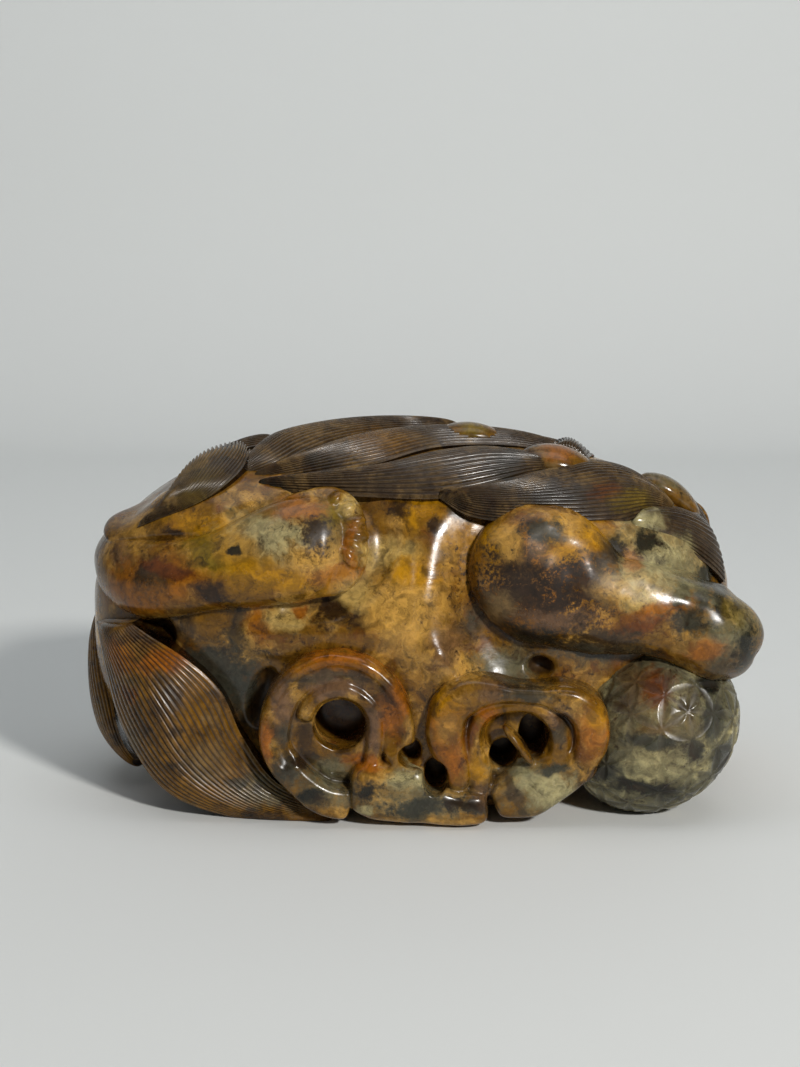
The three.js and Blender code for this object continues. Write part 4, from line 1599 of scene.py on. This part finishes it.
def jade(name, main, pale, deep, spots, patches=(), dull=(), stain="umber", dirt="umber", grime_shade_share=0.75):
    material = bpy.data.materials.new(name)
    material.use_nodes = True
    web = Web(material.node_tree)
    shader = material.node_tree.nodes["Principled BSDF"]
    raw = web.add("ShaderNodeTexCoord").outputs["Object"]
    at = web.add(
        "ShaderNodeMapping", {"Vector": raw, "Location": BASE_MIDDLE, "Scale": (1 / MM,) * 3}
    ).outputs[0]

    def group(make, **inputs):
        node = web.add("ShaderNodeGroup", node_tree=shared(make.__name__, make))
        for title, value in inputs.items():
            web.put(node.inputs[title.replace("_", " ")], value)
        return node.outputs

    drift = group(drift_group, Position=at)
    bent, speck, cloud = drift["Bent"], drift["Speck"], drift["Cloud"]
    colour = group(
        ground_group,
        Bent=bent,
        Speck=speck,
        Cloud=cloud,
        Main=colour_of(main),
        Pale=colour_of(pale),
        Deep=colour_of(deep),
        Spots=colour_of(spots),
    )["Colour"]
    def laid(below, places, choose):
        for place in places:
            below = group(
                patch_group,
                Position=at,
                Bent=bent,
                Speck=speck,
                Cloud=cloud,
                Below=below,
                Colour=choose(place),
                Centre=place["centre"],
                Radii=place["radii"],
                Tilt=place["tilt"],
                Softness=place["softness"],
                Grain=place["grain"],
                Strength=place["strength"],
                Bend=place["bend"],
            )["Colour"]
        return below

    colour = laid(colour, patches, lambda place: colour_of(place["colour"]))
    dull_share = laid((0, 0, 0), dull, lambda place: (1, 1, 1)) if dull else 0.0
    colour = group(
        stain_group, Bent=bent, Speck=speck, Cloud=cloud, Colour=colour, Stain=colour_of(stain)
    )["Colour"]
    # The hollow measure darkens creases and grooves in the colour: grime and painted shade
    hollow = web.add("ShaderNodeAttribute", attribute_name="hollow").outputs["Fac"]
    finish = group(
        polish_group,
        Position=at,
        Colour=colour,
        Hollow=hollow,
        Dirt=colour_of(dirt),
        Dirt_share=grime_shade_share,
        Dull=dull_share,
    )
    bump = web.add("ShaderNodeBump", {"Height": finish["Height"], "Strength": 0.5, "Distance": 0.00004})
    web.put(shader.inputs["Base Color"], finish["Colour"])
    web.put(shader.inputs["Roughness"], finish["Roughness"])
    web.put(shader.inputs["Normal"], bump.outputs[0])
    shader.inputs["IOR"].default_value = 1.61
    shader.inputs["Specular IOR Level"].default_value = 0.26
    shader.inputs["Subsurface Weight"].default_value = 0.1
    shader.inputs["Subsurface Radius"].default_value = (1.0, 0.6, 0.3)
    shader.inputs["Subsurface Scale"].default_value = 0.0012
    return material


FLANK_PATCHES = [
    # Skin between the locks of the mane
    patch("bark", 4, 80, 56, 8, y=0, deep=34, strength=0.8),
    patch("tan", 26, 74, 12, 4, y=-14, strength=0.8),
    # Rump and the strip over the hind leg
    patch("peach", -62, 62, 6, 9, soft=0.8, strength=0.6),
    patch("mauve", -66, 55, 4, 5),
    patch("amber", -63, 48, 10, 7, soft=0.6),
    patch("gold", -46, 62, 15, 4.6, tilt=-16),
    patch("umber", -53, 60.4, 2.4, 1.2, grain=1.2),
    # Hind leg
    patch("amber", -52, 52, 11, 7),
    patch("bark", -58, 52, 5, 6, grain=1.6),
    patch("rust", -54, 53.5, 8, 1.8, tilt=-8),
    patch("olive", -43, 57, 10, 4.6, tilt=-14),
    patch("ivory", -29, 60, 16, 7.4, tilt=-14, strength=0.9),
    patch("gold", -38, 58, 7, 4, tilt=-14, strength=0.7),
    patch("gold", -30, 53.4, 15, 4.2),
    patch("olive", -19.5, 65.5, 5.5, 3.6),
    patch("amber", -26, 66.4, 7, 2.6),
    patch("peach", -23, 57.5, 8, 4, soft=0.7),
    patch("orange", -18, 54, 8, 2.6, strength=0.7),
    patch("umber", -22.4, 62, 4.6, 3.2, tilt=-30, grain=2.2),
    patch("ink", -39.3, 58.8, 1.7, 1.1),
    patch("umber", -44, 49.6, 5, 3.2, tilt=12),
    patch("cream", -15.6, 67, 3, 2.6),
    patch("orange", -14.6, 59.5, 2.6, 5.6),
    # Flank under the leg
    patch("bark", -52, 41, 8, 7),
    patch("honey", -45.4, 43, 4, 5),
    patch("ink", -39.6, 40.5, 3.2, 7.5, strength=0.8),
    patch("amber", -33.8, 42.5, 4, 5),
    patch("cream", -29, 44.5, 5, 3),
    patch("orange", -26.2, 45, 1.6, 1.6, soft=0.8),
    patch("umber", -20, 45.5, 5, 3.4),
    patch("slate", -45, 31, 11, 8, soft=0.7),
    patch("slate", -38, 27, 8, 12),
    # Middle of the body
    patch("peach", -4, 50, 9, 12, strength=0.7),
    patch("umber", -14, 44, 3, 2.4, grain=1.4),
    patch("honey", -11, 61, 4.6, 9, soft=0.6),
    patch("gold", -1, 67, 10, 5.4),
    patch("umber", -5.6, 66.6, 4, 3.4),
    patch("umber", 2.4, 62.4, 2, 2, grain=1.0),
    patch("umber", -3.6, 58.8, 1.4, 1.4),
    patch("cream", -8, 57, 7, 4),
    patch("gold", -2, 53, 7, 4.6, soft=0.7),
    patch("cream", -14, 49.6, 6, 4.4),
    patch("peach", -4.5, 45, 10, 9, soft=0.8),
    patch("mauve", 5, 38.5, 6, 7, soft=0.8, strength=0.6),
    patch("peach", 6, 58, 3.4, 8, strength=0.6),
    patch("slate", 10.6, 43.4, 4.6, 4),
    patch("slate", 9.6, 65.4, 5.4, 2.6),
    patch("celadon", 17, 33.5, 8, 5),
    # Shoulder
    patch("amber", 24, 53, 19, 16),
    patch("gold", 14, 59, 6, 8),
    patch("tan", 20, 54, 12, 9, grain=2.0, strength=0.7),
    patch("umber", 21, 55, 10, 7, grain=4.0, soft=0.7, strength=0.8),
    patch("peach", 17.6, 60, 3.6, 4.4, tilt=40),
    patch("peach", 31, 63, 7, 2.6, tilt=-16, grain=1.6),
    patch("slate", 25, 63, 5, 2.6, grain=1.6),
    patch("gold", 30, 59, 6, 4, grain=1.6),
    patch("umber", 21, 49, 12, 7, grain=3.4, soft=0.6, strength=0.9),
    patch("tan", 16, 47, 4, 4, grain=2.0),
    patch("umber", 33, 51, 10, 6, grain=3.4, soft=0.6, strength=0.9),
    patch("mauve", 27, 44.6, 9, 2.6, grain=1.6),
    patch("ink", 24, 40.4, 10, 4.2, grain=1.3),
    patch("slate", 36, 36.6, 14, 4.4),
    # Foreleg and paw
    patch("peach", 43, 50.4, 9, 4),
    patch("cream", 46, 48, 6, 3),
    patch("orange", 48, 45.6, 8, 3, tilt=12),
    patch("rust", 43, 42.6, 10, 3.2, tilt=8),
    patch("bark", 38, 41, 9, 3.4, grain=1.8),
    patch("celadon", 65, 42, 10.5, 11),
    patch("slate", 62, 33, 6, 5, strength=0.7),
    patch("orange", 57.5, 37.6, 6, 2.6, tilt=16, strength=0.7),
    patch("ink", 53.4, 49, 1.9, 3.4, tilt=-14),
    patch("ink", 57.6, 48.4, 2.0, 3.2, tilt=-14),
    patch("ink", 61.6, 47, 2.2, 3.6, tilt=-14),
    patch("slate", 55, 43.6, 4.6, 2.8),
    patch("olive", 65, 45.6, 3.8, 3.4, strength=0.6),
    patch("ink", 67.5, 38, 4, 6, grain=1.1),
    # Chest beyond the foreleg
    patch("ivory", 49, 55, 17, 11, y=-26),
    patch("celadon", 56, 50, 9, 5, y=-24, strength=0.6),
    patch("orange", 43.6, 56.4, 2.6, 3, y=-28, strength=0.7),
    patch("ink", 39.6, 58.6, 3.6, 3.4, y=-28),
    patch("ink", 47.2, 59.4, 3.8, 3.2, tilt=20, y=-26),
    patch("gold", 35, 62, 5, 4, y=-28, strength=0.8),
    patch("bark", 37, 57, 4, 2.4, y=-28, strength=0.8),
    patch("slate", 61, 50.6, 4, 3, y=-22),
]

DULL_PLACES = [
    patch("tan", 25, 57, 17, 13, grain=1.6),
    patch("tan", 42, 52, 15, 5, tilt=8),
    patch("tan", 18, 46, 8, 7),
    patch("tan", -19, 64, 7, 6, strength=0.6),
]

MANE_PATCHES = [
    patch("olive", -48, 69, 8, 6, y=-18, strength=0.35),
    patch("umber", -43, 66, 6, 2, y=-20),
    patch("tan", -24, 79, 10, 4, y=-8, strength=0.6),
    patch("honey", -9, 78, 9, 3.4, y=-12, strength=0.6),
    patch("ink", -33, 69.6, 5, 2, y=-24, strength=0.75),
    patch("ink", -22, 75, 5, 1.6, tilt=-20, y=-16, strength=0.6),
    patch("bark", 0, 74, 12, 4, y=-20, strength=0.6),
    patch("ink", 17, 74, 4, 4, y=-20, strength=0.75),
    patch("ink", 27, 68.6, 9, 3, y=-24, strength=0.75),
    patch("rust", 38, 69, 4, 2.6, y=-22, soft=0.7, strength=0.6),
    patch("olive", 44, 67, 6, 3, y=-22, strength=0.6),
]

CHEEK_PATCHES = [
    patch("ivory", 46, 63, 6.5, 4.2, y=-26),
    patch("ivory", 52, 57, 6, 3.2, y=-24),
]

RIBBON_PATCHES = [
    # Left scroll
    patch("amber", -17, 35, 15, 4.4),
    patch("orange", -18, 37, 10, 1.6),
    patch("slate", -20, 32.2, 10, 2.2, strength=0.8),
    patch("mauve", -29.6, 27, 3.4, 7, tilt=20, strength=0.9),
    patch("slate", -28.4, 21, 2.4, 4, strength=0.7),
    patch("orange", -6, 27, 3.4, 9, tilt=-10),
    patch("umber", -7.6, 30, 1.6, 4, strength=0.6),
    patch("orange", -33, 19, 1.8, 6),
    patch("slate", -28.0, 13, 6, 6, tilt=-30),
    patch("celadon", -20, 9, 8, 6),
    patch("ink", -24, 7.4, 3, 1.6),
    patch("mauve", -18, 29.6, 7, 2.2),
    patch("umber", -24.6, 20, 2.2, 5, strength=0.8),
    patch("mauve", -10.4, 21, 2.2, 7),
    patch("umber", -25, 14.8, 3, 1.6, strength=0.8),
    patch("celadon", -20, 13, 5, 3, strength=0.7),
    # Bottom ribbon
    patch("orange", -12, 14.4, 5, 2.6),
    patch("celadon", -2, 6.0, 17, 6.6),
    patch("ivory", -3.4, 10.8, 5, 3),
    patch("ink", -12, 8.6, 4, 2.2, grain=1.4),
    patch("slate", -1, 5.0, 9, 2.4, grain=1.6, tilt=8),
    patch("slate", 10, 5.0, 6, 2.4, grain=1.6),
    patch("ivory", -12.6, 4.0, 3, 1.6, strength=0.7),
    patch("peach", 0, 1.2, 18, 1.2, strength=0.6),
    # Right scroll
    patch("amber", 3, 24, 5, 8),
    patch("gold", 3.6, 28, 4, 4, strength=0.8),
    patch("peach", 4.6, 22, 2.6, 4, strength=0.5),
    patch("orange", 6, 15, 4.4, 6),
    patch("mauve", 14, 30, 4, 2.4, strength=0.7),
    patch("rust", 9.4, 21, 1.4, 6, strength=0.6),
    patch("slate", 21.6, 29.4, 7, 1.8, strength=0.8),
    patch("orange", 13.4, 24.6, 3.4, 4),
    patch("gold", 11.6, 13, 2.6, 5, strength=0.8),
    patch("mauve", 12.6, 7.4, 3, 3.6, strength=0.8),
    patch("umber", 10, 5.4, 5, 1.4, strength=0.6),
    patch("mauve", 27.6, 24.4, 4, 3.2, strength=0.9),
    patch("slate", 28.4, 20, 2.4, 3, strength=0.7),
    patch("orange", 34.8, 21, 4.8, 6.6),
    patch("gold", 36, 24, 2.6, 3, strength=0.7),
    patch("rust", 33.6, 16.4, 2.4, 3, strength=0.6),
    patch("celadon", 25, 8.0, 14, 7.4, tilt=-24),
    patch("ivory", 26, 8.8, 11, 4.6, tilt=-24),
    patch("celadon", 21, 12, 4, 3, strength=0.6),
    patch("bark", 18.6, 8, 1.4, 7, tilt=26, strength=0.8),
    patch("slate", 27, 13.0, 3.4, 1.6),
]

BALL_PATCHES = [
    patch("tan", 50, 22, 12, 9, strength=0.5),
    patch("ivory", 50, 14, 10, 5, strength=0.6),
    patch("tan", 44.6, 29.6, 5.6, 6.4),
    patch("rust", 48.6, 29.4, 4.4, 4.6),
    patch("tan", 47.4, 22, 3.4, 2, strength=0.8),
    patch("slate", 60.4, 22.6, 2.8, 5.4),
    patch("slate", 48, 19.4, 7, 2, grain=0.9),
    patch("slate", 56, 17.4, 3, 3.4),
    patch("ink", 47, 8.4, 8.6, 2.6),
    patch("bark", 42, 26, 3.6, 4, strength=0.8),
    patch("ink", 60, 30, 3.4, 2.4),
    patch("slate", 39, 12, 5, 3),
    patch("slate", 63, 13, 3, 6, grain=0.9),
]

BEAD_PATCHES = [
    patch("orange", 29, 77, 5, 3, y=-14, strength=0.7),
    patch("celadon", 54, 73, 9, 8, y=-5),
    patch("olive", 11, 80, 4, 3, y=0),
]

TAIL_PATCHES = [
    patch("orange", -53.6, 34.6, 8, 2.8, tilt=14),
    patch("amber", -65, 34, 4, 4.6),
    patch("rust", -63, 26, 3, 3, soft=0.8, strength=0.7),
    patch("umber", -54, 26, 4, 5, soft=0.8, strength=0.5),
    patch("tan", -46, 13, 7, 5, soft=0.8, strength=0.7),
    patch("celadon", -34, 7, 8, 4, soft=0.7, strength=0.6),
    patch("slate", -40, 8.6, 3, 1.6, strength=0.7),
]

# Each stone's colour and share for its hollows darken creases and grooves, as grime and painted shade
STONES = {
    "flank": dict(
        main="honey", pale="peach", deep="rust", spots="umber", patches=FLANK_PATCHES, dull=DULL_PLACES
    ),
    "mane": dict(
        main="bark", pale="tan", deep="umber", spots="ink", patches=MANE_PATCHES, dirt="umber", grime_shade_share=0.9
    ),
    "cheek": dict(
        main="bark",
        pale="bark",
        deep="umber",
        spots="ink",
        patches=CHEEK_PATCHES,
        dirt="umber",
        grime_shade_share=0.9,
    ),
    "bead": dict(main="honey", pale="tan", deep="bark", spots="umber", patches=BEAD_PATCHES),
    "ribbon": dict(main="honey", pale="peach", deep="umber", spots="umber", patches=RIBBON_PATCHES),
    "ball": dict(
        main="celadon", pale="ivory", deep="slate", spots="ink", patches=BALL_PATCHES, grime_shade_share=0.22
    ),
    "tail": dict(main="honey", pale="tan", deep="umber", spots="umber", patches=TAIL_PATCHES, grime_shade_share=0.9),
}


def stone(name):
    return shared("jade_" + name, lambda: jade("jade_" + name, **STONES[name]))


def comb(obj, material, depth):
    tree = shared("comb", strand_tree)
    return run_nodes(obj, tree, groove_depth=depth * MM, ridge_sharpness=3.2, stone=material)


# Operators


class CARVING_OT_body(bpy.types.Operator):
    """Model the boulder's own stone"""

    bl_idname = "carving.body"
    bl_label = "Stone body"

    def execute(self, context):
        claim(stone_body(), stone("flank"))
        return {"FINISHED"}


class CARVING_OT_legs(bpy.types.Operator):
    """Model the legs of the shown side"""

    bl_idname = "carving.legs"
    bl_label = "Near legs"

    def execute(self, context):
        claim(near_hind_leg(), stone("flank"))
        claim(near_foreleg(), stone("flank"))
        return {"FINISHED"}


class CARVING_OT_ribbon(bpy.types.Operator):
    """Model the ribbon along the front"""

    bl_idname = "carving.ribbon"
    bl_label = "Front ribbon"

    def execute(self, context):
        claim(front_ribbon(), stone("ribbon"))
        return {"FINISHED"}


class CARVING_OT_mane(bpy.types.Operator):
    """Comb the locks of the mane"""

    bl_idname = "carving.mane"
    bl_label = "Mane"

    def execute(self, context):
        hair = (
            ("mane", MANE_LOCKS, "mane"),
            ("cheek_hair", CHEEK_LOCKS, "cheek"),
            ("far_mane", FAR_LOCKS, "mane"),
        )
        for piece, specs, look in hair:
            locks = [
                comb(comb_lock(name, on_stone, **spec), stone(look), size(look + "_groove"))
                for name, spec in specs.items()
            ]
            claim(joined(piece, locks), stone(look))
        return {"FINISHED"}


class CARVING_OT_beads(bpy.types.Operator):
    """Set the oval beads along the spine"""

    bl_idname = "carving.beads"
    bl_label = "Spine beads"

    def execute(self, context):
        claim(spine_beads(), stone("bead"))
        return {"FINISHED"}


class CARVING_OT_ball(bpy.types.Operator):
    """Turn the ball and cut its lattice of leaves"""

    bl_idname = "carving.ball"
    bl_label = "Brocade ball"

    def execute(self, context):
        claim(brocade_ball(), stone("ball"))
        return {"FINISHED"}


class CARVING_OT_head(bpy.types.Operator):
    """Model the head, which is turned to the far side"""

    bl_idname = "carving.head"
    bl_label = "Head"

    def execute(self, context):
        claim(head(), stone("flank"))
        return {"FINISHED"}


class CARVING_OT_far_side(bpy.types.Operator):
    """Model the legs and the ribbon of the far side"""

    bl_idname = "carving.far_side"
    bl_label = "Far side"

    def execute(self, context):
        claim(far_limbs(), stone("flank"))
        return {"FINISHED"}


class CARVING_OT_tail(bpy.types.Operator):
    """Comb the tail plume"""

    bl_idname = "carving.tail"
    bl_label = "Tail"

    def execute(self, context):
        plume = comb_lock(
            "tail_plume", on_plume, PLUME_GUIDES, 4.6, size("tail_pitch"), rim=0.8, root=12, rows=120
        )
        claim(settle(comb(plume, stone("tail"), size("tail_groove"))), stone("tail"))
        rear = comb_lock(
            "rear_lock",
            limb_chart(REAR_LOCK),
            REAR_GUIDES,
            0.0,
            size("tail_pitch"),
            rim=0.0,
            root=3.4,
            rows=100,
        )
        claim(settle(comb(rear, stone("tail"), size("tail_groove"))), stone("tail"))
        return {"FINISHED"}


class CARVING_OT_stage(bpy.types.Operator):
    """Set the table, the light and the camera"""

    bl_idname = "carving.stage"
    bl_label = "Stage"

    def execute(self, context):
        stage()
        return {"FINISHED"}


# Stage

# The camera, and how far beside and above the carving's middle it aims
CAMERA_RISE = math.radians(12)
CAMERA_DISTANCE = 460.0
CAMERA_HEIGHT = 41.0
AIM_ASIDE = -5.54
AIM_ABOVE = 14.53
LENS = 68.6

# The table, which bends up into the backdrop
TABLE_FRONT = -600.0
TABLE_BACK = 520.0
TABLE_HALF_WIDTH = 1400.0
BEND_RADIUS = 160.0
BEND_DEGREES = 80.0
BACKDROP_RISE = (260.0, 900.0)
PAPER_COLOUR = (0.735, 0.755, 0.745)
PAPER_ROUGHNESS = 0.8
ROOM_COLOUR = (0.82, 0.88, 0.94)
ROOM_STRENGTH = 0.08


def stage():
    """The table with its backdrop, the lights, the room and the camera."""
    run = np.linspace(TABLE_FRONT, TABLE_BACK, 40)
    bend = np.radians(np.linspace(0, BEND_DEGREES, 24))[1:]
    profile = [(y, 0.0) for y in run]
    profile += [(TABLE_BACK + BEND_RADIUS * math.sin(a), BEND_RADIUS * (1 - math.cos(a))) for a in bend]
    profile.append((profile[-1][0] + BACKDROP_RISE[0], profile[-1][1] + BACKDROP_RISE[1]))
    points = []
    for x in (-TABLE_HALF_WIDTH, TABLE_HALF_WIDTH):
        points += [(x, y, z) for y, z in profile]
    n = len(profile)
    quads = np.array([[i, n + i, n + i + 1, i + 1] for i in range(n - 1)])
    floor = new_object("table_sweep", np.array(points, float), quads)
    paper = bpy.data.materials.new("pale_paper")
    paper.use_nodes = True
    shader = paper.node_tree.nodes["Principled BSDF"]
    shader.inputs["Base Color"].default_value = (*PAPER_COLOUR, 1)
    shader.inputs["Roughness"].default_value = PAPER_ROUGHNESS
    floor.data.materials.append(paper)
    floor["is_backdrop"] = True

    def lamp(name, at, aim, size, power, colour=(1, 1, 1)):
        light = bpy.data.lights.new(name, "AREA")
        light.size = size
        light.energy = power
        light.color = colour
        obj = bpy.data.objects.new(name, light)
        obj.location = at
        obj.rotation_euler = (Vector(aim) - Vector(at)).to_track_quat("-Z", "Y").to_euler()
        bpy.context.scene.collection.objects.link(obj)

    lamp("key", (0.58, -0.98, 0.66), (0, 0, 0.03), 0.12, 13.8, (1.0, 0.97, 0.93))
    lamp("fill", (-0.9, -0.5, 0.7), (0, 0, 0.04), 1.0, 0.8, (0.9, 0.95, 1.0))
    lamp("top", (0.0, 0.5, 1.3), (0, 0.2, 0), 1.4, 1.7, (0.97, 0.99, 1.0))
    lamp("wall", (0.0, 0.1, 1.0), (0, 0.6, 0.5), 0.9, 3.2, (0.96, 0.98, 1.0))
    world = bpy.data.worlds.new("room")
    world.use_nodes = True
    background = world.node_tree.nodes["Background"]
    background.inputs["Color"].default_value = (*ROOM_COLOUR, 1)
    background.inputs["Strength"].default_value = ROOM_STRENGTH
    bpy.context.scene.world = world

    bpy.context.scene.view_settings.view_transform = "Standard"

    forward = np.array([0, math.cos(CAMERA_RISE), -math.sin(CAMERA_RISE)])
    up = np.array([0, math.sin(CAMERA_RISE), math.cos(CAMERA_RISE)])
    centre = np.array([0, 0, CAMERA_HEIGHT])
    eye_at = centre - forward * CAMERA_DISTANCE
    aim = centre + np.array([AIM_ASIDE, 0, 0]) + up * AIM_ABOVE
    camera = bpy.data.cameras.new("camera")
    camera.sensor_fit = "AUTO"
    camera.sensor_width = 36
    camera.lens = LENS
    camera.clip_start = 0.01
    obj = bpy.data.objects.new("camera", camera)
    obj.location = to_frame(eye_at)
    obj.rotation_euler = (Vector(to_frame(aim)) - obj.location).to_track_quat("-Z", "Y").to_euler()
    bpy.context.scene.collection.objects.link(obj)
    bpy.context.scene.camera = obj


OPERATORS = (
    CARVING_OT_body,
    CARVING_OT_legs,
    CARVING_OT_ribbon,
    CARVING_OT_mane,
    CARVING_OT_beads,
    CARVING_OT_ball,
    CARVING_OT_head,
    CARVING_OT_far_side,
    CARVING_OT_tail,
    CARVING_OT_stage,
)


class CARVING_PT_panel(bpy.types.Panel):
    """Sizes, colours and build steps of the carving"""

    bl_idname = "CARVING_PT_panel"
    bl_label = "Jade lion carving"
    bl_space_type = "VIEW_3D"
    bl_region_type = "UI"
    bl_category = "Carving"

    def draw(self, context):
        scene = context.scene
        for title, group in (("Sizes", scene.carving_sizes), ("Colours", scene.carving_colours)):
            box = self.layout.box()
            box.label(text=title)
            for name in type(group).__annotations__:
                box.prop(group, name)
        steps = self.layout.column(align=True)
        for operator in OPERATORS:
            steps.operator(operator.bl_idname)


CLASSES = (CarvingSizes, CarvingColours, *OPERATORS, CARVING_PT_panel)


def register():
    for cls in CLASSES:
        bpy.utils.register_class(cls)
    bpy.types.Scene.carving_sizes = PointerProperty(type=CarvingSizes)
    bpy.types.Scene.carving_colours = PointerProperty(type=CarvingColours)


def unregister():
    del bpy.types.Scene.carving_colours
    del bpy.types.Scene.carving_sizes
    for cls in reversed(CLASSES):
        bpy.utils.unregister_class(cls)


def write_sizes():
    def rows(box):
        return [list(corner) for corner in box]

    {"cad": rows(CAD_BOX), "visual": rows(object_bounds())}


def main():
    register()
    bpy.ops.carving.stage()
    bpy.ops.carving.body()
    bpy.ops.carving.legs()
    bpy.ops.carving.ribbon()
    bpy.ops.carving.mane()
    bpy.ops.carving.beads()
    bpy.ops.carving.ball()
    bpy.ops.carving.tail()
    bpy.ops.carving.head()
    bpy.ops.carving.far_side()
    write_sizes()


if __name__ == "__main__":
    main()
